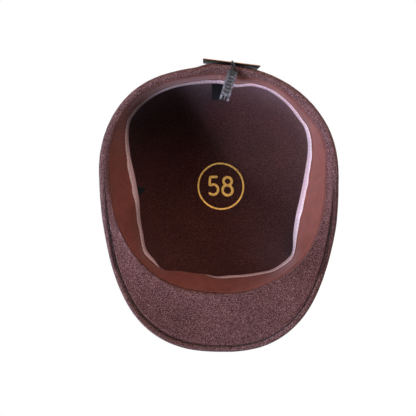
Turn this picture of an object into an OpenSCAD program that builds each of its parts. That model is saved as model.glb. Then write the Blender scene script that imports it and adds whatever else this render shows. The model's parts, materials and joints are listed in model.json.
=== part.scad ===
// Moulded felt duckbill cap with a leatherette sweatband and a swing tag.
// Every felt and band surface is written in the plane of the rim: an angle a around the head
// (0 at the peak, 180 at the back), a radius from the upright axis, and a height. seated() then
// tips the whole cap so that it rests on its peak and its back rim, with the origin under the
// middle of its box.

/* [Head opening] */
// Half the width of the head opening at the band's seam
opening_half_width = 96; // [86:0.5:106]
// From the widest line back to the seam
opening_back = 89; // [78:0.5:100]
// From the widest line forward to the seam
opening_front = 109; // [96:0.5:120]

/* [Rim and peak] */
// Width of felt between the seam and the outer edge at the sides and the back
hem_width = 9; // [8:0.5:12]
// Depth of the peak at its middle, seen from above
peak_depth = 48; // [38:0.5:60]
// How far the tip of the peak lies below the rim
peak_drop = 26; // [18:0.5:32]
// How far the peak's sides would curve down at the full width of the rim
peak_camber = 30; // [15:1:40]
// Where the rim starts to fall towards the peak, forward of the widest line
fall_start = 55; // [45:1:65]
// Height of the arch in the back rim, where the tag's cord passes
arch_height = 5.5; // [4.5:0.1:7]
// Half the length of that arch
arch_half_length = 50; // [40:1:60]
// How far the felt edge is turned in under the rim
turn_in = 5; // [4.5:0.1:5.5]
// Radius of the turned edge
edge_radius = 3.4; // [3.2:0.1:4]

/* [Crown] */
// Height of the crown above the plane of the rim, over the widest line
crown_height = 89; // [80:1:105]
// Slope of the crown's top towards the peak, in degrees
top_slope = 8; // [4:0.5:10]
// Thickness of the crown's felt
felt = 2.5; // [2:0.1:3]
// Thickness of the facing under the peak
facing = 2.2; // [1.8:0.1:2.4]
// Thickness of the stiffener in the peak
board = 1.3; // [0.8:0.1:1.4]

/* [Sweatband] */
// Width of the band from its seam to its free edge
band_width = 30; // [22:0.5:34]
// Thickness of the band
band_thickness = 0.9; // [0.7:0.1:1.2]
// Width of the band's sewn foot
foot_width = 4; // [3:0.5:4.5]
// How far the free edge leans in at the sides
lean_side = 16; // [10:0.5:18]
// How far the free edge leans in at the front
lean_front = 8; // [5:0.5:12]
// How far the free edge leans in at the back
lean_back = 12; // [8:0.5:14]
// Width of the tape that binds the free edge
tape_width = 4.4; // [3:0.1:6]
// Thickness of that tape
tape_thickness = 0.5; // [0.4:0.1:0.7]

/* [Stitching] */
// Length of one stitch in the edge groove
edge_stitch = 4; // [3:0.1:4.5]
// Distance from one edge stitch to the next
edge_pitch = 5.5; // [5:0.1:7]
// Length of one stitch in the band's seam
seam_stitch = 3.2; // [2:0.1:3.6]
// Distance from one seam stitch to the next
seam_pitch = 5; // [4:0.1:6]
// Length of one stitch in the tape
tape_stitch = 2.4; // [1.5:0.1:3]
// Distance from one tape stitch to the next
tape_pitch = 4; // [3.6:0.1:5]

/* [Labels and mark] */
// Width of the care label
care_width = 14; // [10:0.5:20]
// Width of the size label
size_width = 11; // [8:0.5:16]
// Outer radius of the gold ring
ring_radius = 19.5; // [14:0.5:24]
// Width of the gold ring's line
ring_line = 1.2; // [0.8:0.1:2]
// Height of the gold numeral
numeral_height = 15; // [10:0.5:18]
// Width of the numeral's stroke
numeral_stroke = 1.6; // [1:0.1:2.2]
// Where the middle of the mark lies, forward of the widest line
mark_forward = 27; // [15:1:35]

/* [Tag] */
// Width of the card
card_width = 50; // [40:1:60]
// Length of the card
card_length = 80; // [60:1:90]
// Thickness of the card
card_thickness = 0.6; // [0.4:0.1:0.8]
// Diameter of the card's hole
card_hole = 2.8; // [2.4:0.1:4]
// How far the card leans in against the crown, in degrees
card_lean = 4; // [3:0.5:4]
// Length of the seal
seal_length = 25.5; // [22:0.5:28]
// Width of the seal
seal_width = 7.6; // [6.5:0.1:9]
// Thickness of the seal
seal_thickness = 3.4; // [3:0.1:3.8]
// Diameter of the cord
cord_diameter = 1.2; // [1:0.1:1.4]

/* [Hidden] */
$fn = 48;

// clearances between pieces that lie on each other
lay_gap = 0.3;
fold_gap = 0.15;
stitch_gap = 0.15;
// thickness of the sewing thread
thread = 0.6;
tape_thread = 0.3;

// the rim's outer edge and the seam are superellipses with these powers
rim_back_power = 2.1;
rim_front_power = 2.3;
seam_power = 2.2;
rim_half_width = opening_half_width + hem_width;
rim_back = opening_back + hem_width;
rim_front = opening_front + peak_depth;

// directions of the crown's outer face where it leaves the turned edge, in degrees of the
// edge's own arc, and the lengths of the curve's two handles
leave_side = -5;
leave_front = 55;
leave_back = 4;
lower_handle = 58;
lower_handle_front = 55;
upper_handle = 78;
upper_handle_front = 96;
upper_handle_back = 62;

steps_around = 48;
steps_crown = 13;
turn = 360 / steps_around;
// the crown's rings lie closer together towards the top
ring_crowding = 1.25;
crown_steps = [for (k = [0:steps_crown - 1]) 1 - pow(1 - k / steps_crown, ring_crowding)];
angles = [for (j = [0:steps_around - 1]) j * turn];

function mix(a, b, k) = a + (b - a) * k;
function clamp(v) = min(1, max(0, v));
function smooth(v) = let (k = clamp(v)) k * k * (3 - 2 * k);
// how far a direction faces forward, fading evenly round to the back
function forward(a, power) = pow((1 + cos(a)) / 2, power);
// a value that differs at the sides, the front and the back of the head
function by_side(a, side, front, back, front_fade, back_fade) =
    side + (front - side) * forward(a, front_fade) + (back - side) * forward(180 - a, back_fade);

// radius at an angle of an oval with its own reach and power before and behind
function oval(a, half_width, front, back, front_power, back_power) =
    let (
        ahead = cos(a) > 0,
        reach = ahead ? front : back,
        power = ahead ? front_power : back_power
    )
    pow(pow(abs(sin(a)) / half_width, power) + pow(abs(cos(a)) / reach, power), -1 / power);
function rim_radius(a) =
    oval(a, rim_half_width, rim_front, rim_back, rim_front_power, rim_back_power);
function seam_radius(a) =
    oval(a, opening_half_width, opening_front, opening_back, seam_power, seam_power);

// the underside of the felt: level at the sides, falling to the peak, arched at the back
arch_middle = -10;
arch_fade_start = 50;
arch_fade = 40;
fall_power = 1.4;
function rim_z(a, r) =
    let (
        x = r * sin(a),
        y = -r * cos(a),
        fall = clamp((-y - fall_start) / (rim_front - fall_start)),
        off = min(1, abs(x - arch_middle) / arch_half_length)
    )
    -peak_drop * pow(fall, fall_power) - peak_camber * pow(x / rim_half_width, 2) * smooth(fall)
    + arch_height * (1 + cos(180 * off)) / 2 * smooth((y - arch_fade_start) / arch_fade);

function at(a, r, z) = [r * sin(a), -r * cos(a), z];
// a point at an inset from the outer edge and a height above the underside there
function inset(a, i, k) = let (r = rim_radius(a) - i) at(a, r, rim_z(a, r) + k);

// the turned edge: a round of edge_radius, followed from the wall (leave) to the underside (-90)
leave_fade = 5;
handle_fade = 2;
function leave(a) = by_side(a, leave_side, leave_front, leave_back, leave_fade, handle_fade);
function edge_point(a, phi) =
    inset(a, edge_radius * (1 - cos(phi)), edge_radius * (1 + sin(phi)));

// the crown's outer face, a cubic curve from the turned edge (t = 0) to the top (t = 1),
// as [radius, height]; the inner face lies felt inside it
function crown_start(a) =
    let (
        i = edge_radius * (1 - cos(leave(a))),
        r = rim_radius(a) - i
    )
    [r, rim_z(a, r) + edge_radius * (1 + sin(leave(a)))];
function crown_handles(a) =
    let (
        start = crown_start(a),
        lower = by_side(
            a, lower_handle, lower_handle_front, lower_handle, leave_fade, handle_fade
        ),
        upper = by_side(
            a, upper_handle, upper_handle_front, upper_handle_back, handle_fade, handle_fade
        )
    )
    [
        start,
        start + lower * [-sin(leave(a)), cos(leave(a))],
        [upper, crown_height - upper * tan(top_slope) * cos(a)],
        [0, crown_height]
    ];
function curve(p, t) =
    pow(1 - t, 3) * p[0] + 3 * pow(1 - t, 2) * t * p[1] + 3 * (1 - t) * t * t * p[2]
    + pow(t, 3) * p[3];
function curve_slope(p, t) =
    3 * pow(1 - t, 2) * (p[1] - p[0]) + 6 * (1 - t) * t * (p[2] - p[1])
    + 3 * t * t * (p[3] - p[2]);
function crown_inner(a, t, depth) =
    let (
        p = crown_handles(a),
        s = curve_slope(p, t),
        out = [s[1], -s[0]] / norm(s)
    )
    curve(p, t) - depth * out;
// height of a face that lies depth inside the crown, over the point (x, y)
function inner_t(a, r, depth, low = 0, high = 1, left = 22) =
    left == 0 ? (low + high) / 2
    : let (mid = (low + high) / 2)
      crown_inner(a, mid, depth)[0] > r ? inner_t(a, r, depth, mid, high, left - 1)
      : inner_t(a, r, depth, low, mid, left - 1);
function under_crown(x, y, depth) =
    let (
        a = atan2(x, -y),
        r = norm([x, y])
    )
    [x, y, crown_inner(a, inner_t(a, r, depth), depth)[1]];

// ---- how the cap is seated ----
under_ring = [for (a = angles) edge_point(a, -90)];
function lowest(points, tip) = min([for (p = points) p[2] * cos(tip) - p[1] * sin(tip)]);
back_points = [for (p = under_ring) if (p[1] > 0) p];
front_points = [for (p = under_ring) if (p[1] < 0) p];
// the tip at which the back rim and the peak touch the ground together
function level_tip(low, high, left) =
    left == 0 ? (low + high) / 2
    : let (mid = (low + high) / 2)
      lowest(back_points, mid) > lowest(front_points, mid) ? level_tip(mid, high, left - 1)
      : level_tip(low, mid, left - 1);
rest_tip = level_tip(0, 12, 24);
function tipped(p) =
    [
        p[0],
        p[1] * cos(rest_tip) + p[2] * sin(rest_tip),
        p[2] * cos(rest_tip) - p[1] * sin(rest_tip)
    ];

crown_outer_rings = [
    for (k = [steps_crown - 1:-1:0])
        [for (a = angles) let (q = curve(crown_handles(a), crown_steps[k])) at(a, q[0], q[1])]
];
edge_steps = 4;
edge_rings = [
    for (k = [1:edge_steps]) [for (a = angles) edge_point(a, mix(leave(a), -90, k / edge_steps))]
];
hem_overlap = 0.3;
lip_inset = edge_radius - hem_overlap;
lip_rings = [
    [for (a = angles) inset(a, turn_in, 0)],
    [for (a = angles) inset(a, turn_in, facing)],
    [for (a = angles) inset(a, lip_inset, facing)]
];
crown_inner_rings = [
    for (t = crown_steps)
        [for (a = angles) let (q = crown_inner(a, t, felt)) at(a, q[0], q[1])]
];
shell_rings = concat(crown_outer_rings, edge_rings, lip_rings, crown_inner_rings);
box_points = [for (ring = concat(crown_outer_rings, edge_rings)) for (p = ring) tipped(p)];
seat_y = -(min([for (p = box_points) p[1]]) + max([for (p = box_points) p[1]])) / 2;
seat_z = -min([for (p = box_points) p[2]]);
module seated() {
    translate([0, seat_y, seat_z]) rotate([-rest_tip, 0, 0]) children();
}

// ---- shared builders ----
function flat(rings) = [for (ring = rings) for (p = ring) p];
function quads(rows, n, closed) =
    [
        for (k = [0:rows - (closed ? 1 : 2)]) for (j = [0:n - 1])
            let (
                k2 = (k + 1) % rows,
                j2 = (j + 1) % n
            )
            each [[k * n + j, k2 * n + j, k2 * n + j2], [k * n + j, k2 * n + j2, k * n + j2]]
    ];
// a shell with a point at each end of its rings
module capped(rings, first, last) {
    n = len(rings[0]);
    rows = len(rings);
    points = concat(flat(rings), [first, last]);
    faces = concat(
        quads(rows, n, false),
        [for (j = [0:n - 1]) [rows * n, j, (j + 1) % n]],
        [for (j = [0:n - 1]) [rows * n + 1, (rows - 1) * n + (j + 1) % n, (rows - 1) * n + j]]
    );
    polyhedron(points, faces, convexity = 6);
}
// a closed section carried all round
module looped(rings) {
    polyhedron(flat(rings), quads(len(rings), len(rings[0]), true), convexity = 6);
}
// a closed section carried along an open line, with flat ends
module swept(sections) {
    n = len(sections[0]);
    rows = len(sections);
    last = (rows - 1) * n;
    faces = concat(
        quads(rows, n, false),
        [for (j = [0:n / 2 - 2]) [j, j + 1, n - 2 - j, n - 1 - j]],
        [for (j = [0:n / 2 - 2]) [last + n - 1 - j, last + n - 2 - j, last + j + 1, last + j]]
    );
    polyhedron(flat(sections), faces, convexity = 6);
}
// stitches laid along the chords of a ring
module stitches(ring, pitch, size) {
    n = len(ring);
    for (j = [0:n - 1]) {
        from = ring[j];
        chord = ring[(j + 1) % n] - from;
        count = max(1, round(norm(chord) / pitch));
        heading = atan2(chord[1], chord[0]);
        climb = asin(chord[2] / norm(chord));
        for (i = [0:count - 1])
            translate(from + chord * (i + 0.5) / count)
                rotate([0, -climb, heading])
                    cube(size, center = true);
    }
}

// ---- felt ----
module crown_shell() {
    color("#4a3234")
        seated()
            capped(
                shell_rings,
                [0, 0, crown_height],
                [0, 0, crown_height - felt]
            );
}

groove = 1;
facing_outer = turn_in + groove;
facing_steps = 5;
function facing_ring(a, share, k) =
    let (r = mix(rim_radius(a) - facing_outer, seam_radius(a), share)) at(a, r, rim_z(a, r) + k);
module underbrim() {
    shares = [for (s = [0:facing_steps]) s / facing_steps];
    under = [for (s = shares) [for (a = angles) facing_ring(a, s, 0)]];
    over = [for (s = shares) [for (a = angles) facing_ring(a, 1 - s, facing)]];
    color("#50383a") seated() looped(concat(under, over));
}

// the stiffener: a crescent that narrows to rounded points
board_reach = 62;
board_inset = 7.5;
board_seam_gap = foot_width + 1;
board_point = 0.6;
function board_share(a) = sqrt(max(0, 1 - pow(abs(a) / board_reach, 4)));
function board_edge(a, side, k) =
    let (
        outer = rim_radius(a) - board_inset,
        inner = seam_radius(a) + board_seam_gap,
        middle = (outer + inner) / 2,
        r = middle + side * max(board_point, (outer - inner) / 2 * board_share(a))
    )
    at(a, r, rim_z(a, r) + facing + lay_gap + k);
module peak_board() {
    color("#b9a88a")
        seated()
            swept([
                for (a = [-turn * floor(board_reach / turn):turn:board_reach])
                    [
                        board_edge(a, -1, 0), board_edge(a, 0, 0), board_edge(a, 1, 0),
                        board_edge(a, 1, board), board_edge(a, 0, board), board_edge(a, -1, board)
                    ]
            ]);
}

// ---- sweatband ----
foot_z = facing + lay_gap;
step_in = 0.4;
lean_fade = 3;
function lean(a) = by_side(a, lean_side, lean_front, lean_back, lean_fade, lean_fade);
// the band's near face from its seam to its free edge, as [radius, height], and its directions
function band_foot(a) =
    let (r = seam_radius(a)) [r - step_in, rim_z(a, r) + foot_z];
function band_along(a) = [-lean(a), sqrt(pow(band_width, 2) - pow(lean(a), 2))] / band_width;
function band_near(a) = let (d = band_along(a)) [-d[1], d[0]];
function band_at(a, along, out) =
    let (q = band_foot(a) + along * band_along(a) + out * band_near(a)) at(a, q[0], q[1]);
function band_line(along, out) = [for (a = angles) band_at(a, along, out)];
module sweatband() {
    foot_end = [for (a = angles) let (q = band_foot(a)) at(a, q[0] + step_in + foot_width, q[1])];
    foot_top = [for (p = foot_end) p + [0, 0, band_thickness]];
    corner = [
        for (a = angles)
            let (q = band_foot(a)) at(a, q[0] + band_thickness, q[1] + band_thickness)
    ];
    color("#5b3331")
        seated()
            looped([
                foot_end,
                band_line(0, 0),
                band_line(band_width / 2, 0),
                band_line(tape_reach, 0),
                band_line(band_width, 0),
                band_line(band_width, -band_thickness),
                band_line(tape_reach, -band_thickness),
                band_line(band_width / 2, -band_thickness),
                corner,
                foot_top
            ]);
}

tape_reach = band_width - tape_width;
tape_top = band_width + fold_gap + tape_thickness;
tape_far = -band_thickness - fold_gap;
module band_binding() {
    color("#c9a9a4")
        seated()
            looped([
                band_line(tape_reach, fold_gap),
                band_line(tape_reach, fold_gap + tape_thickness),
                band_line(tape_top, fold_gap + tape_thickness),
                band_line(tape_top, tape_far - tape_thickness),
                band_line(tape_reach, tape_far - tape_thickness),
                band_line(tape_reach, tape_far),
                band_line(band_width + fold_gap, tape_far),
                band_line(band_width + fold_gap, fold_gap)
            ]);
}

// ---- labels: thin strips bent along a few points, [towards the head, up] ----
label_thickness = 0.4;
strip_step = [-label_thickness, label_thickness / 2];
function strip(points) = concat(points, [for (i = [len(points) - 1:-1:0]) points[i] + strip_step]);
module label(a, width, radius, points) {
    rotate([0, 0, a])
        translate([-width / 2, -radius, 0])
            rotate([90, 0, 90])
                linear_extrude(width) polygon(strip(points));
}
label_seat = band_thickness + stitch_gap + thread + lay_gap;
care_angle = 180;
care_back = 1.5;
module care_label() {
    start = band_foot(care_angle);
    color("#1d1f27")
        seated()
            label(care_angle, care_width, start[0] + care_back, [
                [0, start[1] + label_seat],
                [-0.6, start[1] + 10],
                [5.5, start[1] + 24],
                [13.5, start[1] + 32.5],
                [22, start[1] + 36]
            ]);
}
size_angle = 79;
size_back = 2.6;
module size_label() {
    start = band_foot(size_angle);
    color("#17171c")
        seated()
            label(size_angle, size_width, start[0] + size_back, [
                [0, start[1] + label_seat],
                [0.2, start[1] + 8],
                [10.4, start[1] + 24.4],
                [18, start[1] + 32.4]
            ]);
}

// ---- gold mark on the crown's inner face ----
foil = 0.2;
foil_gap = 0.35;
function mark(u, v, depth) = under_crown(u, v - mark_forward, felt + foil_gap + depth);
// a flat line of the given width along points of the mark's own plane
function side_of(points, i, closed) =
    let (
        n = len(points),
        before = closed ? points[(i + n - 1) % n] : points[max(0, i - 1)],
        after = closed ? points[(i + 1) % n] : points[min(n - 1, i + 1)],
        d = (after - before) / norm(after - before)
    )
    [-d[1], d[0]];
function ribbon(points, width, closed) =
    [
        for (i = [0:len(points) - 1])
            let (
                s = side_of(points, i, closed) * width / 2,
                l = points[i] - s,
                r = points[i] + s
            )
            [mark(l[0], l[1], 0), mark(r[0], r[1], 0), mark(r[0], r[1], foil), mark(l[0], l[1], foil)]
    ];
function turned(sections) = [for (k = [0:3]) [for (s = sections) s[k]]];
function arc(centre, r, from, to, steps) =
    [
        for (i = [0:steps])
            let (b = mix(from, to, i / steps)) centre + r * [cos(b), sin(b)]
    ];
module foil_ring() {
    circle_points = [for (b = [0:10:350]) (ring_radius - ring_line / 2) * [cos(b), sin(b)]];
    color("#c99a3c") seated() looped(turned(ribbon(circle_points, ring_line, true)));
}
// the numeral 58, read with the peak below and the crown seen from inside
numeral_gap = 3.2;
loop_gap = 0.3;
loop_upper = numeral_height * 0.2;
loop_lower = numeral_height * 0.25;
module foil_numeral() {
    top = numeral_height / 2;
    eight = -numeral_gap / 2 - loop_lower;
    five = numeral_gap / 2 + loop_lower;
    lower_centre = -top + loop_lower;
    upper_centre = lower_centre + loop_lower + loop_upper + numeral_stroke + loop_gap;
    bowl = [five, lower_centre];
    bar_left = five + loop_lower * 0.85;
    bar_right = five - loop_lower * 0.8;
    color("#c99a3c")
        seated() {
            for (ring = [[lower_centre, loop_lower], [upper_centre, loop_upper]])
                looped(turned(ribbon(
                    [for (b = [0:18:342]) [eight, ring[0]] + ring[1] * [cos(b), sin(b)]],
                    numeral_stroke,
                    true
                )));
            swept([
                for (s = ribbon(
                    concat(
                        [[bar_right, top], [five, top], [bar_left, top]],
                        [[bar_left, top - loop_lower * 0.9]],
                        arc(bowl, loop_lower, 48, 315, 14)
                    ),
                    numeral_stroke,
                    false
                )) [s[3], s[2], s[1], s[0]]
            ]);
        }
}

// ---- stitching ----
groove_sink = 0.25;
module edge_stitching() {
    color("#231517")
        seated()
            stitches(
                [for (a = angles) inset(a, turn_in + groove / 2, groove_sink + thread / 2)],
                edge_pitch,
                [edge_stitch, thread, thread]
            );
}
module seam_stitching() {
    height = foot_z + band_thickness + stitch_gap + thread / 2;
    color("#2a191a")
        seated()
            stitches(
                [
                    for (a = angles)
                        let (r = seam_radius(a)) at(a, r + foot_width / 2, rim_z(a, r) + height)
                ],
                seam_pitch,
                [seam_stitch, thread, thread]
            );
}
tape_stitch_line = tape_reach + 0.9;
module binding_stitching() {
    color("#d9bdb8")
        seated()
            stitches(
                band_line(
                    tape_stitch_line,
                    fold_gap + tape_thickness + stitch_gap + tape_thread / 2
                ),
                tape_pitch,
                [tape_stitch, tape_thread, tape_thread]
            );
}
join_count = 6;
join_pitch = 3.4;
join_start = 3;
join_stitch = 0.7 * join_pitch;
module join_stitching() {
    d = band_along(180);
    color("#b98f88")
        seated()
            for (i = [0:join_count - 1])
                translate(band_at(180, join_start + i * join_pitch, stitch_gap + tape_thread / 2))
                    rotate([asin(-d[0]), 0, 0])
                        cube([thread, tape_thread, join_stitch], center = true);
}

// ---- tag: written where it lies on the ground, not in the plane of the rim ----
card_middle = [-10, 130.5, 1.9];
card_turn = 5;
hole_height = 4.2;
module swing_card() {
    color("#1b1b1e")
        translate(card_middle)
            rotate([card_lean, 0, card_turn])
                difference() {
                    translate([-card_width / 2, -card_thickness / 2, 0])
                        cube([card_width, card_thickness, card_length]);
                    translate([0, 0, hole_height])
                        rotate([90, 0, 0])
                            cylinder(h = 4, d = card_hole, center = true);
                }
}

// the seal lies on the ground just inside the back rim, with its mouth towards the rim
seal_mouth = [-11.5, 122.6, 0.3];
seal_turn = 17;
fork_depth = 3.6;
fork_width = 1.5;
bore = 2.6;
bore_depth = 12;
face_step = 0.5;
rib_count = 6;
rib_pitch = 3;
rib_width = 1.2;
rib_start = 3.2;
rib_margin = 1.6;
module at_seal() {
    translate(seal_mouth) rotate([0, 0, seal_turn]) children();
}
module seal_body() {
    color("#26272b")
        at_seal()
            difference() {
                translate([-seal_width / 2, -seal_length, 0])
                    cube([seal_width, seal_length, seal_thickness]);
                translate([0, 1, seal_thickness / 2])
                    rotate([90, 0, 0])
                        cylinder(h = bore_depth + 1, d = bore);
                for (side = [-1, 1])
                    translate([side * seal_width / 6 - fork_width / 2, -seal_length - 1, -1])
                        cube([fork_width, fork_depth + 1, seal_thickness + 2]);
                for (i = [0:rib_count - 1])
                    translate([rib_margin - seal_width / 2, -rib_start - i * rib_pitch, -face_step])
                        cube([seal_width - 2 * rib_margin, rib_width, 2 * face_step]);
            }
}
plug_length = 7;
plug_sunk = 4;
plug_gap = 0.15;
module seal_plug() {
    color("#35363a")
        at_seal()
            translate([0, -plug_sunk, seal_thickness / 2])
                rotate([90, 0, 0])
                    cylinder(h = plug_length, d = bore - 2 * plug_gap);
}

// the cord's route: out of the seam, round the foot of the card and back into the seal
cord_route = [
    [-13.5, 117.1, 7.4], [-13.5, 117.2, 6.2], [-13.4, 117.8, 5.2], [-13.3, 119, 4.6],
    [-13.3, 120.8, 4.6], [-13.2, 122.6, 4.6], [-13.1, 124, 4.1], [-13, 125.2, 3.1],
    [-12.8, 126.4, 2.1], [-12.4, 127.6, 1.2], [-11.9, 128.9, 0.8], [-11.3, 130.3, 1],
    [-10.8, 131.6, 1.5], [-10.5, 132.5, 2.4], [-10.3, 132.8, 3.7], [-10.1, 132.5, 4.9],
    [-10.1, 131.6, 5.8], [-10, 130.2, 6.1], [-10, 129, 5.8], [-10.1, 128, 5],
    [-10.3, 126.9, 4.1], [-10.6, 125.8, 3.2], [-11, 124.7, 2.5], [-11.3, 123.7, 2.1],
    [-11.5, 122.6, 2], [-11.2, 121.6, 2]
];
cord_sides = 8;
function cord_direction(i) =
    let (
        n = len(cord_route),
        d = cord_route[min(n - 1, i + 1)] - cord_route[max(0, i - 1)]
    )
    d / norm(d);
function cord_section(i) =
    let (
        d = cord_direction(i),
        u = cross(d, [1, 0, 0]) / norm(cross(d, [1, 0, 0])),
        v = cross(d, u)
    )
    [
        for (k = [0:cord_sides - 1])
            let (b = 360 * k / cord_sides)
            cord_route[i] + cord_diameter / 2 * (u * cos(b) + v * sin(b))
    ];
module tag_cord() {
    color("#141416") swept([for (i = [len(cord_route) - 1:-1:0]) cord_section(i)]);
}

crown_shell();
underbrim();
peak_board();
sweatband();
band_binding();
care_label();
size_label();
foil_ring();
foil_numeral();
edge_stitching();
seam_stitching();
binding_stitching();
join_stitching();
swing_card();
tag_cord();
seal_body();
seal_plug();
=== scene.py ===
"""Looks of a moulded felt duckbill cap, built round its packed construction model.

Every felt and band surface is worked out in the plane of the rim, in millimetres: an angle
round the head (0 at the peak, 180 at the back, positive to the wearer's left), a distance from
the upright axis, and a height. CapForm.seat then tips the cap on to its peak and its back rim,
as the construction model lies, and turns millimetres into metres.
"""

from __future__ import annotations

import json
import logging
import math
from dataclasses import dataclass, field
from enum import Enum
from typing import Any, Callable, Sequence

import bpy
import numpy as np
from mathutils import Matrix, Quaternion, Vector, noise

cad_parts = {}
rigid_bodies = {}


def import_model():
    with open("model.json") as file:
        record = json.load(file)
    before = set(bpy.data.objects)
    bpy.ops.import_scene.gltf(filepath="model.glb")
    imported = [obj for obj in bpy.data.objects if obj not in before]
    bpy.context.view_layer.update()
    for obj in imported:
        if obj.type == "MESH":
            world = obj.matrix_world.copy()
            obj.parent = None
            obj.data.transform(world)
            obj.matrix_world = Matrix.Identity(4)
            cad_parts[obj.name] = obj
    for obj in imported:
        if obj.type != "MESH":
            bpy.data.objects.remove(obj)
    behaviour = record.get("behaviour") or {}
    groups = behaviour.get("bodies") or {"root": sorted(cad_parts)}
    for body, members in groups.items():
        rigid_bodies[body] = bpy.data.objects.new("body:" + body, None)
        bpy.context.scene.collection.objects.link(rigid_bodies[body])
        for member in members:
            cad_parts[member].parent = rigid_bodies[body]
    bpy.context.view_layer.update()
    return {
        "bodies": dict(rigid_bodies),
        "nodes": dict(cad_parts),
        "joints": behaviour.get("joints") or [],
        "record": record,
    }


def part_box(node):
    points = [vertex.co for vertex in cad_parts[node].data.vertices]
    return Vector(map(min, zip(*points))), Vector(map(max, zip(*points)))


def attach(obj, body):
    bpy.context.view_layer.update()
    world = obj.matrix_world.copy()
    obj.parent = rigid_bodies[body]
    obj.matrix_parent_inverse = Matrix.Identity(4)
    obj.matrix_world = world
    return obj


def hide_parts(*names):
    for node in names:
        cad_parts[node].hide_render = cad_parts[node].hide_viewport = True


log = logging.getLogger("felt_cap")

MM = 0.001
FULL_TURN = 2 * math.pi
# points nearer to each other than this, in metres, are one point
DOUBLED = 1e-6
Array = np.ndarray
Place = Callable[[Array, Array], Array]


class Body(Enum):
    """The rigid bodies of the construction model."""

    CAP = "cap"
    CARD = "card"
    SEAL = "seal"


# ---------------------------------------------------------------- small maths


def linear(code: str) -> tuple[float, float, float, float]:
    """Turns an sRGB hex colour into linear light.

    Args:
        code: six hex digits, with or without a leading #.

    Returns:
        Red, green, blue and an alpha of one.
    """
    digits = code.lstrip("#")
    channels = [int(digits[i : i + 2], 16) / 255 for i in (0, 2, 4)]
    light = [c / 12.92 if c <= 0.04045 else ((c + 0.055) / 1.055) ** 2.4 for c in channels]
    return (light[0], light[1], light[2], 1.0)


def smooth(value: Array) -> Array:
    """Eases a value from 0 to 1, and holds it there outside that range."""
    k = np.clip(value, 0.0, 1.0)
    return k * k * (3 - 2 * k)


def mix(a: Any, b: Any, k: Any) -> Any:
    """The value a share k of the way from a to b."""
    return a + (b - a) * k


def unit(directions: Array) -> Array:
    """Directions of length one, the same way as those in the rows given."""
    return directions / np.linalg.norm(directions, axis=-1, keepdims=True)


def run_along(points: Array) -> Array:
    """How far along the line through the points each one lies, from 0 at the first."""
    return np.concatenate([[0], np.cumsum(np.linalg.norm(np.diff(points, axis=0), axis=1))])


def eased(stations: Sequence[tuple[float, float]], at: Array) -> Array:
    """Reads a smooth curve through a few stations.

    Args:
        stations: pairs of place and value, in rising order of place.
        at: the places to read.

    Returns:
        The value at each place, level at the ends and where the curve turns back.
    """
    places = np.array([s[0] for s in stations], float)
    values = np.array([s[1] for s in stations], float)
    at = np.clip(at, places[0], places[-1])
    k = np.clip(np.searchsorted(places, at, side="right") - 1, 0, len(places) - 2)
    width = places[k + 1] - places[k]
    share = (at - places[k]) / width
    slope = np.gradient(values, places)
    turn = np.diff(values)
    flat = np.ones(len(values), bool)
    flat[1:-1] = turn[:-1] * turn[1:] <= 0
    slope[flat] = 0
    # the four weights of a cubic through both values with both slopes
    here = 2 * share**3 - 3 * share**2 + 1
    leaving = share**3 - 2 * share**2 + share
    there = -2 * share**3 + 3 * share**2
    arriving = share**3 - share**2
    return (
        here * values[k]
        + leaving * width * slope[k]
        + there * values[k + 1]
        + arriving * width * slope[k + 1]
    )


def signed_degrees(a: Array) -> Array:
    """Angles round the head in degrees, from -180 to 180."""
    return np.degrees(np.mod(a + math.pi, FULL_TURN) - math.pi)


def unevenness(points: Array, size: float, seed: float) -> Array:
    """Smooth noise, about -1 to 1, at each point, with swells of a size in the points' unit."""
    return np.array([noise.noise(Vector(p) / size + Vector((seed, seed, seed))) for p in points])


# ---------------------------------------------------------------- mesh helpers


def deselect_all() -> None:
    """Leaves nothing selected and no object in edit mode."""
    if bpy.context.object is not None and bpy.context.object.mode != "OBJECT":
        bpy.ops.object.mode_set(mode="OBJECT")
    bpy.ops.object.select_all(action="DESELECT")


def pick(piece: bpy.types.Object) -> None:
    """Makes one piece the only selected and active object."""
    deselect_all()
    piece.select_set(True)
    bpy.context.view_layer.objects.active = piece


def apply_modifier(piece: bpy.types.Object, kind: str, **settings: Any) -> None:
    """Adds a modifier and applies it.

    Args:
        piece: the mesh to change.
        kind: the modifier's type name.
        **settings: values for the modifier's own properties.
    """
    pick(piece)
    modifier = piece.modifiers.new(kind.title(), kind)
    for name, value in settings.items():
        setattr(modifier, name, value)
    bpy.ops.object.modifier_apply(modifier=modifier.name)


def clean_up(piece: bpy.types.Object) -> None:
    """Merges doubled points and turns every face outwards.

    Args:
        piece: the closed mesh to clean.
    """
    pick(piece)
    bpy.ops.object.mode_set(mode="EDIT")
    bpy.ops.mesh.select_all(action="SELECT")
    bpy.ops.mesh.remove_doubles(threshold=DOUBLED)
    bpy.ops.mesh.normals_make_consistent(inside=False)
    bpy.ops.object.mode_set(mode="OBJECT")


def settle(piece: bpy.types.Object) -> None:
    """Puts a piece's place into its mesh, so that its object sits at the origin."""
    pick(piece)
    bpy.ops.object.transform_apply(location=True, rotation=True, scale=True)


def coordinates(piece: bpy.types.Object) -> Array:
    """The places of a mesh's points.

    Args:
        piece: the mesh to read.

    Returns:
        One row of three numbers for each point.
    """
    rows = np.empty(len(piece.data.vertices) * 3, float)
    piece.data.vertices.foreach_get("co", rows)
    return rows.reshape(-1, 3)


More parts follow.
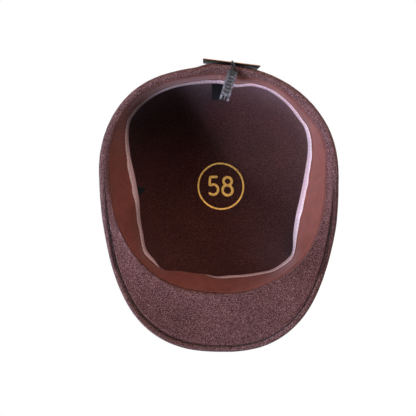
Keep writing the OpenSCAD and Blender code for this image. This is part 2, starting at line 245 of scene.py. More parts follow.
def laid_grid(name: str, columns: int, rows: int, place: Place) -> bpy.types.Object:
    """Adds a grid and lays each of its points on a surface.

    Args:
        name: the piece's name.
        columns: faces along the first share.
        rows: faces along the second share.
        place: gives the points, in metres, for arrays of the two shares.

    Returns:
        The piece, with its doubled points merged and its own UV map.
    """
    deselect_all()
    bpy.ops.mesh.primitive_grid_add(x_subdivisions=columns, y_subdivisions=rows, size=1)
    piece = bpy.context.object
    piece.name = piece.data.name = name
    flat = coordinates(piece)
    points = place(flat[:, 0] + 0.5, flat[:, 1] + 0.5)
    piece.data.vertices.foreach_set("co", points.ravel())
    piece.data.update()
    clean_up(piece)
    bpy.ops.object.shade_smooth()
    return piece


def joined(name: str, parts: Sequence[bpy.types.Object]) -> bpy.types.Object:
    """Joins several meshes.

    Args:
        name: the joined piece's name.
        parts: the meshes, two or more.

    Returns:
        The first mesh, which now holds them all.
    """
    deselect_all()
    for part in parts:
        part.select_set(True)
    piece = parts[0]
    bpy.context.view_layer.objects.active = piece
    bpy.ops.object.join()
    piece.name = piece.data.name = name
    return piece


def copied_along(name: str, model: bpy.types.Object, frames: Sequence[Array]) -> bpy.types.Object:
    """Repeats one modelled mesh at many places, as a single piece.

    Args:
        name: the new piece's name.
        model: the modelled mesh, which is removed afterwards.
        frames: for each copy, four rows: its place in metres and its three axes.

    Returns:
        The piece that holds every copy.
    """
    one = coordinates(model)
    faces = [tuple(p.vertices) for p in model.data.polygons]
    points: list[Array] = []
    polygons: list[tuple[int, ...]] = []
    for index, frame in enumerate(frames):
        points.append(frame[0] + one @ frame[1:])
        polygons += [tuple(i + index * len(one) for i in face) for face in faces]
    mesh = bpy.data.meshes.new(name)
    mesh.from_pydata(np.concatenate(points).tolist(), [], polygons)
    piece = bpy.data.objects.new(name, mesh)
    bpy.context.scene.collection.objects.link(piece)
    bpy.data.objects.remove(model)
    clean_up(piece)
    bpy.ops.object.shade_smooth()
    return piece


def modelled_stitch(length: float, thickness: float, dip: float) -> bpy.types.Object:
    """Models one stitch along X: a round thread whose ends dive into the cloth.

    Args:
        length: the stitch's length in metres.
        thickness: the thread's thickness in metres.
        dip: how far the ends dive, in metres.

    Returns:
        The stitch, centred on the origin.
    """
    deselect_all()
    bpy.ops.mesh.primitive_cylinder_add(
        vertices=8, radius=thickness / 2, depth=length, rotation=(0, math.pi / 2, 0)
    )
    piece = bpy.context.object
    settle(piece)
    bpy.ops.object.mode_set(mode="EDIT")
    for share in (-0.36, -0.2, 0.0, 0.2, 0.36):
        bpy.ops.mesh.select_all(action="SELECT")
        bpy.ops.mesh.bisect(plane_co=(share * length, 0, 0), plane_no=(1, 0, 0))
    bpy.ops.object.mode_set(mode="OBJECT")
    # the thread narrows where the cloth grips its ends
    narrowing = 0.45
    for vertex in piece.data.vertices:
        reach = abs(vertex.co.x) / (length / 2)
        thin = 1 - narrowing * reach**4
        vertex.co.y *= thin
        vertex.co.z = vertex.co.z * thin - dip * reach**3
    return piece


# ---------------------------------------------------------------- materials


def add_node(
    tree: bpy.types.NodeTree,
    kind: str,
    settings: dict[Any, Any] | None = None,
    links: dict[Any, bpy.types.NodeSocket] | None = None,
) -> bpy.types.Node:
    """Adds a shader node.

    Args:
        tree: the node tree.
        kind: the node's type name.
        settings: values for the node's own properties or, by name or number, for its inputs.
        links: the sockets that feed its inputs.

    Returns:
        The new node.
    """
    node = tree.nodes.new(kind)
    for key, value in (settings or {}).items():
        if isinstance(key, str) and hasattr(node, key):
            setattr(node, key, value)
        else:
            node.inputs[key].default_value = value
    feed(tree, node, links or {})
    return node


def feed(
    tree: bpy.types.NodeTree, node: bpy.types.Node, links: dict[Any, bpy.types.NodeSocket]
) -> None:
    """Links sockets to a node's inputs, which are given by name or number."""
    for key, source in links.items():
        tree.links.new(source, node.inputs[key])


COLOUR_MIX = {"data_type": "RGBA", "clamp_factor": True}
MIX_FACTOR, MIX_A, MIX_B, MIX_OUT = 0, 6, 7, 2
Look = tuple[dict[str, Any], dict[str, bpy.types.NodeSocket]]


@dataclass(frozen=True)
class Finish:
    """A surface finish. Each kind of finish draws its own pattern in build()."""

    name: str

    def material(self) -> bpy.types.Material:
        """The finish's material, made once and then shared."""
        found = bpy.data.materials.get(self.name)
        if found is not None:
            return found
        made = bpy.data.materials.new(self.name)
        made.use_nodes = True
        made.node_tree.nodes.clear()
        tree = made.node_tree
        shader = add_node(tree, "ShaderNodeBsdfPrincipled")
        add_node(tree, "ShaderNodeOutputMaterial", None, {"Surface": shader.outputs["BSDF"]})
        values, links = self.build(tree)
        for name, value in values.items():
            shader.inputs[name].default_value = value
        feed(tree, shader, links)
        return made

    def build(self, tree: bpy.types.NodeTree) -> Look:
        """Draws the finish's pattern.

        Args:
            tree: the material's nodes, with the shader among them.

        Returns:
            The shader's plain values and the sockets that feed it, each by its input's name.
        """
        raise NotImplementedError

    def dress(self, piece: bpy.types.Object) -> None:
        """Gives the piece this finish all over."""
        piece.data.materials.clear()
        piece.data.materials.append(self.material())


@dataclass(frozen=True)
class WoolFelt(Finish):
    """Moulded wool felt: a marl of dark and paler fibres, pressed flat, with a soft bloom."""

    base: str
    dark: str
    fleck: str
    bloom: str
    bloom_weight: float = 0.2
    fibre_mm: float = 0.55
    mottle_mm: float = 26.0
    nap: float = 0.35

    def build(self, tree: bpy.types.NodeTree) -> Look:
        """Draws fibres that run every way, paler flecks and a slow mottle."""
        where = add_node(tree, "ShaderNodeTexCoord").outputs["Object"]
        # felt's real fibres are about 0.03 mm thick; clumps of them are what the eye sees
        fibres = self.clumps(tree, where, 40.0)
        crossing = self.clumps(tree, where, -50.0)
        flecks = add_node(
            tree,
            "ShaderNodeTexNoise",
            {"Scale": 1 / (1.5 * self.fibre_mm * MM), "Detail": 4.0, "Roughness": 0.8},
            {"Vector": where},
        ).outputs[0]
        mottle = add_node(
            tree,
            "ShaderNodeTexNoise",
            {"Scale": 1 / (self.mottle_mm * MM), "Detail": 2.0},
            {"Vector": where},
        ).outputs[0]
        tangle = add_node(
            tree, "ShaderNodeMath", {"operation": "MAXIMUM"}, {0: fibres, 1: crossing}
        ).outputs[0]
        marl = add_node(
            tree, "ShaderNodeMapRange", {"From Min": 0.49, "From Max": 0.63}, {"Value": tangle}
        ).outputs[0]
        pale = add_node(
            tree,
            "ShaderNodeMapRange",
            {"From Min": 0.5, "From Max": 0.6, "To Max": 0.95},
            {"Value": flecks},
        ).outputs[0]
        ground = add_node(
            tree,
            "ShaderNodeMix",
            {**COLOUR_MIX, MIX_A: linear(self.dark), MIX_B: linear(self.base)},
            {MIX_FACTOR: marl},
        ).outputs[MIX_OUT]
        flecked = add_node(
            tree,
            "ShaderNodeMix",
            {**COLOUR_MIX, MIX_B: linear(self.fleck)},
            {MIX_FACTOR: pale, MIX_A: ground},
        ).outputs[MIX_OUT]
        shade = add_node(
            tree,
            "ShaderNodeMapRange",
            {"From Min": 0.3, "From Max": 0.7, "To Min": 0.88, "To Max": 1.12},
            {"Value": mottle},
        ).outputs[0]
        colour = add_node(
            tree, "ShaderNodeVectorMath", {"operation": "SCALE"}, {0: flecked, "Scale": shade}
        ).outputs[0]
        bump = add_node(
            tree,
            "ShaderNodeBump",
            {"Strength": self.nap, "Distance": 0.5 * MM},
            {"Height": tangle},
        ).outputs[0]
        values = {
            "Roughness": 0.95,
            "Specular IOR Level": 0.08,
            "Sheen Weight": self.bloom_weight,
            "Sheen Roughness": 0.5,
            "Sheen Tint": linear(self.bloom),
        }
        return values, {"Base Color": colour, "Normal": bump}

    def clumps(
        self, tree: bpy.types.NodeTree, where: bpy.types.NodeSocket, slant: float
    ) -> bpy.types.NodeSocket:
        """Draws clumps of fibre that run one way.

        Args:
            tree: the node tree.
            where: the places to draw at.
            slant: the way they run, in degrees about the upright axis.

        Returns:
            The clumps' value, 0 to 1.
        """
        turned = add_node(
            tree,
            "ShaderNodeMapping",
            {"Rotation": (0.5, 0.4, math.radians(slant)), "Scale": (0.42, 1.0, 1.0)},
            {"Vector": where},
        ).outputs[0]
        return add_node(
            tree,
            "ShaderNodeTexNoise",
            {"Scale": 1 / (self.fibre_mm * MM), "Detail": 3.0, "Roughness": 0.7, "Distortion": 0.8},
            {"Vector": turned},
        ).outputs[0]


@dataclass(frozen=True)
class Leatherette(Finish):
    """Embossed leatherette: an even pebble grain under a thin satin skin."""

    base: str
    deep: str
    grain_mm: float = 1.3

    def build(self, tree: bpy.types.NodeTree) -> Look:
        """Draws the embossed grain and the slow change of tone where the skin is handled."""
        where = add_node(tree, "ShaderNodeTexCoord").outputs["Object"]
        # the real pebbles are about 0.4 mm across, drawn coarser so that they show
        pebbles = add_node(
            tree,
            "ShaderNodeTexVoronoi",
            {"feature": "SMOOTH_F1", "Scale": 1 / (self.grain_mm * MM), "Smoothness": 0.6},
            {"Vector": where},
        ).outputs["Distance"]
        creases = add_node(
            tree,
            "ShaderNodeTexNoise",
            {"Scale": 1 / (7 * MM), "Detail": 3.0, "Distortion": 0.6},
            {"Vector": where},
        ).outputs[0]
        tone = add_node(
            tree, "ShaderNodeMapRange", {"From Min": 0.32, "From Max": 0.68}, {"Value": creases}
        ).outputs[0]
        colour = add_node(
            tree,
            "ShaderNodeMix",
            {**COLOUR_MIX, MIX_A: linear(self.deep), MIX_B: linear(self.base)},
            {MIX_FACTOR: tone},
        ).outputs[MIX_OUT]
        gloss = add_node(
            tree,
            "ShaderNodeMapRange",
            {"From Min": 0.3, "From Max": 0.7, "To Min": 0.56, "To Max": 0.7},
            {"Value": creases},
        ).outputs[0]
        bump = add_node(
            tree,
            "ShaderNodeBump",
            {"Strength": 0.22, "Distance": 0.25 * MM, "invert": True},
            {"Height": pebbles},
        ).outputs[0]
        values = {
            "IOR": 1.48,
            "Specular IOR Level": 0.3,
            "Sheen Weight": 0.2,
            "Sheen Roughness": 0.5,
            "Sheen Tint": linear("#ead4d6"),
        }
        return values, {"Base Color": colour, "Roughness": gloss, "Normal": bump}


@dataclass(frozen=True)
class Grosgrain(Finish):
    """Ribbed tape: close ribs across its width, with a paler painted highlight along its lower
    border.
    """

    base: str
    groove: str
    border: str
    ribs: float = 420.0

    def build(self, tree: bpy.types.NodeTree) -> Look:
        """Draws the ribs along the tape's own length and a painted highlight along its lower border.
        """
        uv = add_node(tree, "ShaderNodeTexCoord").outputs["UV"]
        parts = add_node(tree, "ShaderNodeSeparateXYZ", None, {0: uv})
        # about 1.2 mm from rib to rib, coarser than the real 0.5 mm, so that they show
        turned = add_node(
            tree,
            "ShaderNodeMath",
            {"operation": "MULTIPLY", 1: self.ribs * FULL_TURN},
            {0: parts.outputs["X"]},
        ).outputs[0]
        wave = add_node(tree, "ShaderNodeMath", {"operation": "SINE"}, {0: turned}).outputs[0]
        rib = add_node(
            tree, "ShaderNodeMapRange", {"From Min": -1.0, "From Max": 1.0}, {"Value": wave}
        ).outputs[0]
        fold = add_node(
            tree, "ShaderNodeMath", {"operation": "PINGPONG", 1: 0.5}, {0: parts.outputs["Y"]}
        ).outputs[0]
        # the border colour is a painted highlight, where the tape's edge catches light
        edge = add_node(
            tree,
            "ShaderNodeMapRange",
            {"From Min": 0.05, "From Max": 0.1, "To Min": 1.0, "To Max": 0.0},
            {"Value": fold},
        ).outputs[0]
        # the darker groove colour between the ribs is painted shade in their hollows
        body = add_node(
            tree,
            "ShaderNodeMix",
            {**COLOUR_MIX, MIX_A: linear(self.groove), MIX_B: linear(self.base)},
            {MIX_FACTOR: rib},
        ).outputs[MIX_OUT]
        colour = add_node(
            tree,
            "ShaderNodeMix",
            {**COLOUR_MIX, MIX_B: linear(self.border)},
            {MIX_FACTOR: edge, MIX_A: body},
        ).outputs[MIX_OUT]
        bump = add_node(
            tree, "ShaderNodeBump", {"Strength": 0.5, "Distance": 0.15 * MM}, {"Height": rib}
        ).outputs[0]
        values = {"Roughness": 0.6, "Sheen Weight": 0.25, "Sheen Roughness": 0.4}
        return values, {"Base Color": colour, "Normal": bump}


@dataclass(frozen=True)
class Thread(Finish):
    """Twisted sewing thread: fine slanting plies with a little silk in them."""

    base: str
    shade: str
    ply_mm: float = 0.7

    def build(self, tree: bpy.types.NodeTree) -> Look:
        """Draws the plies as slanting bands."""
        where = add_node(tree, "ShaderNodeTexCoord").outputs["Object"]
        plies = add_node(
            tree,
            "ShaderNodeTexWave",
            {"bands_direction": "DIAGONAL", "Scale": 0.3 / (self.ply_mm * MM), "Distortion": 0.5},
            {"Vector": where},
        ).outputs["Fac"]
        # the darker shade colour between the ply bands is painted shade in the grooves of the twist
        colour = add_node(
            tree,
            "ShaderNodeMix",
            {**COLOUR_MIX, MIX_A: linear(self.shade), MIX_B: linear(self.base)},
            {MIX_FACTOR: plies},
        ).outputs[MIX_OUT]
        bump = add_node(
            tree, "ShaderNodeBump", {"Strength": 0.5, "Distance": 0.1 * MM}, {"Height": plies}
        ).outputs[0]
        values = {"Roughness": 0.62, "Sheen Weight": 0.2}
        return values, {"Base Color": colour, "Normal": bump}


@dataclass(frozen=True)
class WovenSatin(Finish):
    """Label satin: close warp threads that float over the weft, so it shines one way."""

    base: str
    weft: str
    thread_mm: float = 0.7

    def build(self, tree: bpy.types.NodeTree) -> Look:
        """Draws the warp and the finer weft that crosses it."""
        where = add_node(tree, "ShaderNodeTexCoord").outputs["Object"]
        warp = add_node(
            tree,
            "ShaderNodeTexWave",
            {"bands_direction": "X", "Scale": 0.3 / (self.thread_mm * MM), "Distortion": 0.3},
            {"Vector": where},
        ).outputs["Fac"]
        weft = add_node(
            tree,
            "ShaderNodeTexWave",
            {"bands_direction": "Z", "Scale": 0.3 / (self.thread_mm * MM), "Distortion": 0.3},
            {"Vector": where},
        ).outputs["Fac"]
        weave = add_node(
            tree, "ShaderNodeMath", {"operation": "MULTIPLY"}, {0: warp, 1: weft}
        ).outputs[0]
        colour = add_node(
            tree,
            "ShaderNodeMix",
            {**COLOUR_MIX, MIX_A: linear(self.base), MIX_B: linear(self.weft)},
            {MIX_FACTOR: weave},
        ).outputs[MIX_OUT]
        bump = add_node(
            tree, "ShaderNodeBump", {"Strength": 0.35, "Distance": 0.1 * MM}, {"Height": weave}
        ).outputs[0]
        values = {"Roughness": 0.5, "Specular IOR Level": 0.08}
        return values, {"Base Color": colour, "Normal": bump}


@dataclass(frozen=True)
class StampedFoil(Finish):
    """Hot-stamped gold foil, which sits on the felt's fibres and so breaks up a little."""

    bright: str
    worn: str

    def build(self, tree: bpy.types.NodeTree) -> Look:
        """Draws bright foil with dull spots where fibres push through."""
        where = add_node(tree, "ShaderNodeTexCoord").outputs["Object"]
        spots = add_node(
            tree,
            "ShaderNodeTexNoise",
            {"Scale": 1 / (1.1 * MM), "Detail": 3.0, "Roughness": 0.7},
            {"Vector": where},
        ).outputs[0]
        wear = add_node(
            tree, "ShaderNodeMapRange", {"From Min": 0.5, "From Max": 0.66}, {"Value": spots}
        ).outputs[0]
        colour = add_node(
            tree,
            "ShaderNodeMix",
            {**COLOUR_MIX, MIX_A: linear(self.bright), MIX_B: linear(self.worn)},
            {MIX_FACTOR: wear},
        ).outputs[MIX_OUT]
        metal = add_node(
            tree, "ShaderNodeMapRange", {"To Min": 0.45, "To Max": 0.05}, {"Value": wear}
        ).outputs[0]
        rough = add_node(
            tree, "ShaderNodeMapRange", {"To Min": 0.42, "To Max": 0.8}, {"Value": wear}
        ).outputs[0]
        bump = add_node(
            tree, "ShaderNodeBump", {"Strength": 0.3, "Distance": 0.2 * MM}, {"Height": spots}
        ).outputs[0]
        return {}, {"Base Color": colour, "Metallic": metal, "Roughness": rough, "Normal": bump}


@dataclass(frozen=True)
class Sheet(Finish):
    """Pressed sheet, such as card or stiffener: flat, with a faint fibre and scuffs."""

    base: str
    scuff: str
    roughness: float
    fibre_mm: float = 1.4

    def build(self, tree: bpy.types.NodeTree) -> Look:
        """Draws faint scuffs and the sheet's fibres."""
        where = add_node(tree, "ShaderNodeTexCoord").outputs["Object"]
        fibres = add_node(
            tree,
            "ShaderNodeTexNoise",
            {"Scale": 1 / (self.fibre_mm * MM), "Detail": 5.0, "Roughness": 0.7},
            {"Vector": where},
        ).outputs[0]
        scuffs = add_node(
            tree,
            "ShaderNodeTexNoise",
            {"Scale": 1 / (14 * MM), "Detail": 5.0, "Roughness": 0.72, "Distortion": 0.8},
            {"Vector": where},
        ).outputs[0]
        wear = add_node(
            tree,
            "ShaderNodeMapRange",
            {"From Min": 0.52, "From Max": 0.74, "To Max": 0.6},
            {"Value": scuffs},
        ).outputs[0]
        colour = add_node(
            tree,
            "ShaderNodeMix",
            {**COLOUR_MIX, MIX_A: linear(self.base), MIX_B: linear(self.scuff)},
            {MIX_FACTOR: wear},
        ).outputs[MIX_OUT]
        bump = add_node(
            tree, "ShaderNodeBump", {"Strength": 0.12, "Distance": 0.1 * MM}, {"Height": fibres}
        ).outputs[0]
        values = {"Roughness": self.roughness, "Specular IOR Level": 0.15}
        return values, {"Base Color": colour, "Normal": bump}


@dataclass(frozen=True)
class MouldedPlastic(Finish):
    """Injection-moulded polystyrene with a fine spark-eroded texture and a paler second colour in
    random patches.
    """

    base: str
    paler_patch_and_highlight: str
    roughness: float
    texture_mm: float = 0.8

    def build(self, tree: bpy.types.NodeTree) -> Look:
        """Draws the mould's texture and the paler patches."""
        where = add_node(tree, "ShaderNodeTexCoord").outputs["Object"]
        texture = add_node(
            tree,
            "ShaderNodeTexNoise",
            {"Scale": 1 / (self.texture_mm * MM), "Detail": 2.0},
            {"Vector": where},
        ).outputs[0]
        patches_and_highlight = add_node(
            tree,
            "ShaderNodeTexNoise",
            {"Scale": 1 / (2.4 * MM), "Detail": 4.0, "Roughness": 0.7},
            {"Vector": where},
        ).outputs[0]
        # paler patches at random: faint on the black body, while on the seal's face below both
        # colours are light greys that paint its highlight
        wear = add_node(
            tree,
            "ShaderNodeMapRange",
            {"From Min": 0.48, "From Max": 0.66, "To Max": 0.8},
            {"Value": patches_and_highlight},
        ).outputs[0]
        colour = add_node(
            tree,
            "ShaderNodeMix",
            {**COLOUR_MIX, MIX_A: linear(self.base), MIX_B: linear(self.paler_patch_and_highlight)},
            {MIX_FACTOR: wear},
        ).outputs[MIX_OUT]
        bump = add_node(
            tree, "ShaderNodeBump", {"Strength": 0.15, "Distance": 0.1 * MM}, {"Height": texture}
        ).outputs[0]
        values = {"Roughness": self.roughness, "IOR": 1.55}
        return values, {"Base Color": colour, "Normal": bump}


# brushed felt: a matt marl of plum and grey fibres that looks paler where it turns away
CROWN_FELT = WoolFelt(
    "moulded_wool_felt_crown", base="#6a4747", dark="#2f1b1b", fleck="#aa8a8a", bloom="#d6bdc0"
)
# the inner face is the same felt: its darker, redder colour is painted shade of the cavity, with a
# cooler bloom
SHADED_INNER_FELT = WoolFelt(
    "wool_felt_inside_painted_shade",
    base="#3a1711",
    dark="#1b0806",
    fleck="#613a31",
    bloom="#d2ccdd",
    bloom_weight=1.0,
)
# the facing is cut from the same felt, and its cut face looks a shade deeper
FACING_FELT = WoolFelt(
    "wool_felt_facing", base="#654141", dark="#331c1c", fleck="#a38080", bloom="#c8aaa9"
)
# coated cloth, rolled with a grain: a chestnut skin with a soft, low gloss
BAND_SKIN = Leatherette("embossed_leatherette", base="#7c463d", deep="#6c3a32")
# woven ribbed tape: pale mauve ribs, with a painted highlight along the lower border where its edge
# catches light
BINDING_TAPE = Grosgrain("grosgrain_tape", base="#c4acb2", groove="#a68c93", border="#e4d6db")
# spun polyester: the groove's thread is painted near black as the groove's shade; the others match
# tape and band
GROOVE_THREAD = Thread("groove_thread_painted_shade", base="#1d1213", shade="#0f0809")
TAPE_THREAD = Thread("pale_polyester_thread", base="#cdb6ba", shade="#9c8388")
JOIN_THREAD = Thread("join_polyester_thread", base="#b79a94", shade="#8a6c66")
# black woven satin: almost no gloss, so the labels read as flat black
LABEL_SATIN = WovenSatin("woven_label_satin", base="#050508", weft="#0e0f15")
# foil pressed on with heat: bright gold with dull specks where fibres show through
GOLD_FOIL = StampedFoil("hot_stamped_gold_foil", bright="#e6b95c", worn="#8a6432")
# calendered card: a kraft core shows as a warm line round a plain black face
CARD_CORE = Sheet("kraft_card_core", base="#a67a52", scuff="#8f6843", roughness=0.8)
TAG_CARD = Sheet("black_core_card", base="#17171a", scuff="#2b2b30", roughness=0.7)
# pressed board inside the peak, straw-coloured and dull
STIFFENER = Sheet("pressed_stiffener_board", base="#b9a88a", scuff="#a0906f", roughness=0.8)
# twisted cord drawn through wax: black, with a slight shine on its plies
WAXED_CORD = Thread("waxed_polyester_cord", base="#19191c", shade="#09090b", ply_mm=1.1)
# moulded polystyrene: glossy black with faintly paler patches; the grey of the face below is painted
# highlight, for the light that its moulded lettering catches
SEAL_PLASTIC = MouldedPlastic(
    "moulded_black_polystyrene", base="#0b0b0d", paler_patch_and_highlight="#1a1a1e", roughness=0.28
)
SEAL_FACE_HIGHLIGHT_PLASTIC = MouldedPlastic(
    "black_polystyrene_painted_highlight", base="#3c3d44", paler_patch_and_highlight="#92939e", roughness=0.4
)


# ---------------------------------------------------------------- the cap's form


@dataclass(frozen=True)
class CapForm:
    """The moulded shape in the plane of the rim, in millimetres, as the construction has it."""

    opening_half_width: float = 96.0
    opening_back: float = 89.0
    opening_front: float = 109.0
    hem_width: float = 9.0
    peak_depth: float = 48.0
    peak_drop: float = 26.0
    peak_camber: float = 30.0
    fall_start: float = 55.0
    fall_power: float = 1.4
    arch_height: float = 5.5
    arch_half_length: float = 50.0
    arch_middle: float = -10.0
    arch_fade_start: float = 50.0
    arch_fade: float = 40.0
    turn_in: float = 5.0
    edge_radius: float = 3.4
    crown_height: float = 89.0
    top_slope: float = math.radians(8)
    felt: float = 2.5
    facing: float = 2.2
    rim_powers: tuple[float, float] = (2.3, 2.1)
    seam_powers: tuple[float, float] = (2.2, 2.2)
    leave_degrees: tuple[float, float, float] = (-5.0, 55.0, 4.0)
    lower_handles: tuple[float, float, float] = (58.0, 55.0, 58.0)
    upper_handles: tuple[float, float, float] = (78.0, 96.0, 62.0)
    leave_fade: float = 5.0
    handle_fade: float = 2.0
    # how soft felt has gone out of true: waves round the head, with cosine and sine shares
    out_of_true: tuple[tuple[int, float, float], ...] = (
        (1, -0.003, 0.0), (2, -0.0115, -0.0127), (3, -0.0013, 0.0017), (4, -0.0078, 0.0007),
    )  # fmt: skip
    # how far the band's seam wanders outwards, by signed degrees round the head
    seam_wander: tuple[tuple[float, float], ...] = (
        (-180, 2.2), (-152, 2.2), (-140, 0.3), (-125, -1.5), (-110, 0.5), (-90, -1.6), (-68, -1.8),
        (-50, -1.5), (-38, -2.8), (-25, -4.2), (-10, -3), (10, -3), (40, -2.2), (60, -0.6),
        (75, 0.3), (100, 0.2), (115, 1.9), (140, 2.2), (160, 1.3), (180, 2.2),
    )  # fmt: skip
    # how far the rim swells over the tag, by degrees round the head, where 180 is the back
    rim_swell: tuple[tuple[float, float], ...] = (
        (135, 0), (150, -0.2), (158, -0.6), (166, -0.8), (173, 1.2), (178, 2.1), (183, 2.2),
        (190, 1.8), (196, 1.0), (204, 0.6), (220, 0),
    )  # fmt: skip
    # how far the strip beside the hem is drawn up into the cap, away from the peak
    valley: float = 3.2
    valley_start: float = 3.0
    valley_width: float = 6.5
    valley_degrees: tuple[float, float] = (62.0, 92.0)
    seated: tuple[float, float, float] = field(init=False)

    def __post_init__(self) -> None:
        """Works out the tip at which peak and back rim touch the ground, and the shifts."""
        if self.out_of_true or self.rim_swell or self.valley:
            # the construction is seated before its felt goes out of true
            even = CapForm(out_of_true=(), rim_swell=(), valley=0.0)
            object.__setattr__(self, "seated", even.seated)
            return
        a = np.linspace(0, FULL_TURN, 360, endpoint=False)
        under = self.round_head(a, *self.edge(a, np.full_like(a, -math.pi / 2)))
        back = under[under[:, 1] > 0]
        front = under[under[:, 1] < 0]
        # the tip is found by halving the range that it lies in
        low, high = 0.0, math.radians(12)
        for _ in range(30):
            tip = (low + high) / 2
            back_low, front_low = (
                np.min(p[:, 2] * math.cos(tip) - p[:, 1] * math.sin(tip)) for p in (back, front)
            )
            low, high = (tip, high) if back_low > front_low else (low, tip)
        tip = (low + high) / 2
        object.__setattr__(self, "seated", (tip, 0.0, 0.0))
        corner_low, corner_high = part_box("crown_shell")
        turned_edge = [
            self.seat(self.round_head(a, *self.edge(a, np.full_like(a, phi)))) / MM
            for phi in np.linspace(-math.pi / 2, math.radians(60), 12)
        ]
        points = np.concatenate(turned_edge)
        middle_y = (points[:, 1].min() + points[:, 1].max()) / 2
        shift_y = (corner_low.y + corner_high.y) / MM / 2 - middle_y
        shift_z = corner_low.z / MM - points[:, 2].min()
        object.__setattr__(self, "seated", (tip, shift_y, shift_z))

    @staticmethod
    def forward(a: Array, fade: float) -> Array:
        """How far a direction faces forward, 1 at the peak to 0 at the back."""
        return ((1 + np.cos(a)) / 2) ** fade

    def by_side(self, a: Array, values: Sequence[float], fades: tuple[float, float]) -> Array:
        """A value that differs at the sides, the front and the back of the head.

        Args:
            a: angles round the head.
            values: the value at the sides, at the front and at the back.
            fades: how quickly the front's value and the back's fade towards the sides.

        Returns:
            The value at each angle.
        """
        side, front, back = values
        return (
            side
            + (front - side) * self.forward(a, fades[0])
            + (back - side) * self.forward(math.pi - a, fades[1])
        )

    @staticmethod
    def oval(
        a: Array, half_width: float, reach: tuple[float, float], powers: tuple[float, float]
    ) -> Array:
        """Radius of an oval with its own reach and power before and behind.

        Args:
            a: angles round the head.
            half_width: the oval's reach to each side.
            reach: how far it goes forward and back.
            powers: how square it is in front and behind, where 2 is an ellipse.

        Returns:
            The radius at each angle.
        """
        ahead = np.cos(a) > 0
        far = np.where(ahead, reach[0], reach[1])
        power = np.where(ahead, powers[0], powers[1])
        across = (np.abs(np.sin(a)) / half_width) ** power
        along = (np.abs(np.cos(a)) / far) ** power
        return (across + along) ** (-1 / power)

    def away(self, a: Array) -> Array:
        """How far a direction is from the peak: 0 along it, 1 at the sides and the back."""
        first, last = self.valley_degrees
        return smooth((np.abs(signed_degrees(a)) - first) / (last - first))

    def rim_radius(self, a: Array) -> Array:
        """Distance of the outer edge from the axis.

        Args:
            a: angles round the head.

        Returns:
            The radius at each, with the swell over the tag where the form has one.
        """
        reach = (self.opening_front + self.peak_depth, self.opening_back + self.hem_width)
        even = self.oval(a, self.opening_half_width + self.hem_width, reach, self.rim_powers)
        if not self.rim_swell:
            return even
        return even + eased(self.rim_swell, np.mod(np.degrees(a), 360))

    def seam_radius(self, a: Array) -> Array:
        """Distance of the band's seam from the axis."""
        reach = (self.opening_front, self.opening_back)
        even = self.oval(a, self.opening_half_width, reach, self.seam_powers)
        return even + eased(self.seam_wander, signed_degrees(a))

    def rim_height(self, a: Array, r: Array) -> Array:
        """Height of the felt's underside: level, falling to the peak, arched at the back.

        Args:
            a: angles round the head.
            r: distances from the axis.

        Returns:
            The height above the plane of the rim.
        """
        x, y = r * np.sin(a), -r * np.cos(a)
        front = self.opening_front + self.peak_depth
        fall = np.clip((-y - self.fall_start) / (front - self.fall_start), 0, 1)
        half_width = self.opening_half_width + self.hem_width
        off = np.minimum(1, np.abs(x - self.arch_middle) / self.arch_half_length)
        arch = (1 + np.cos(math.pi * off)) / 2 * smooth((y - self.arch_fade_start) / self.arch_fade)
        drawn = np.clip((self.rim_radius(a) - self.valley_start - r) / self.valley_width, 0, 1)
        return (
            -self.peak_drop * fall**self.fall_power
            - self.peak_camber * (x / half_width) ** 2 * smooth(fall)
            + self.arch_height * arch
            + self.valley * self.away(a) * drawn**2
        )

    def inset(self, a: Array, i: Array | float, k: Array | float) -> tuple[Array, Array]:
        """Radius and height at an inset from the outer edge, and k above the underside."""
        r = self.rim_radius(a) - i
        return r, self.rim_height(a, r) + k

    def leave(self, a: Array) -> Array:
        """Where on the turned edge's arc the crown's face leaves it, in radians."""
        fades = (self.leave_fade, self.handle_fade)
        return np.radians(self.by_side(a, self.leave_degrees, fades))

    def edge(self, a: Array, phi: Array) -> tuple[Array, Array]:
        """A point of the turned edge: phi runs from the wall down to the underside at -90."""
        radius = self.edge_radius
        return self.inset(a, radius * (1 - np.cos(phi)), radius * (1 + np.sin(phi)))

    def crown_curve(self, a: Array, t: Array, depth: float) -> tuple[Array, Array]:
        """A point of the crown's face, or of one that lies depth inside it.

        Args:
            a: angles round the head.
            t: shares of the way from the turned edge, 0, to the top, 1.
            depth: distance inside the outer face.

        Returns:
            The radii and the heights.
        """
        leave = self.leave(a)
        start = np.stack(self.edge(a, leave))
        lower = self.by_side(a, self.lower_handles, (self.leave_fade, self.handle_fade))
        upper = self.by_side(a, self.upper_handles, (self.handle_fade, self.handle_fade))
        second = start + lower * np.stack([-np.sin(leave), np.cos(leave)])
        top = self.crown_height - upper * math.tan(self.top_slope) * np.cos(a)
        third = np.stack([upper, top])
        last = np.stack([np.zeros_like(a), np.full_like(a, self.crown_height)])
        w = 1 - t
        point = w**3 * start + 3 * w**2 * t * second + 3 * w * t**2 * third + t**3 * last
        slope = (
            3 * w**2 * (second - start) + 6 * w * t * (third - second) + 3 * t**2 * (last - third)
        )
        out = np.stack([slope[1], -slope[0]]) / np.linalg.norm(slope, axis=0)
        found = point - depth * out
        return np.maximum(found[0], 0), found[1]

    def round_head(self, a: Array, r: Array, z: Array) -> Array:
        """Points in the plane of the rim, drawn out of true as the soft felt is.

        Args:
            a: angles round the head.
            r: distances from the axis.
            z: heights.

        Returns:
            One row of three millimetres for each angle.
        """
        for waves, cosine, sine in self.out_of_true:
            r = r + r * (cosine * np.cos(waves * a) + sine * np.sin(waves * a))
        return np.stack([r * np.sin(a), -r * np.cos(a), z], axis=-1)

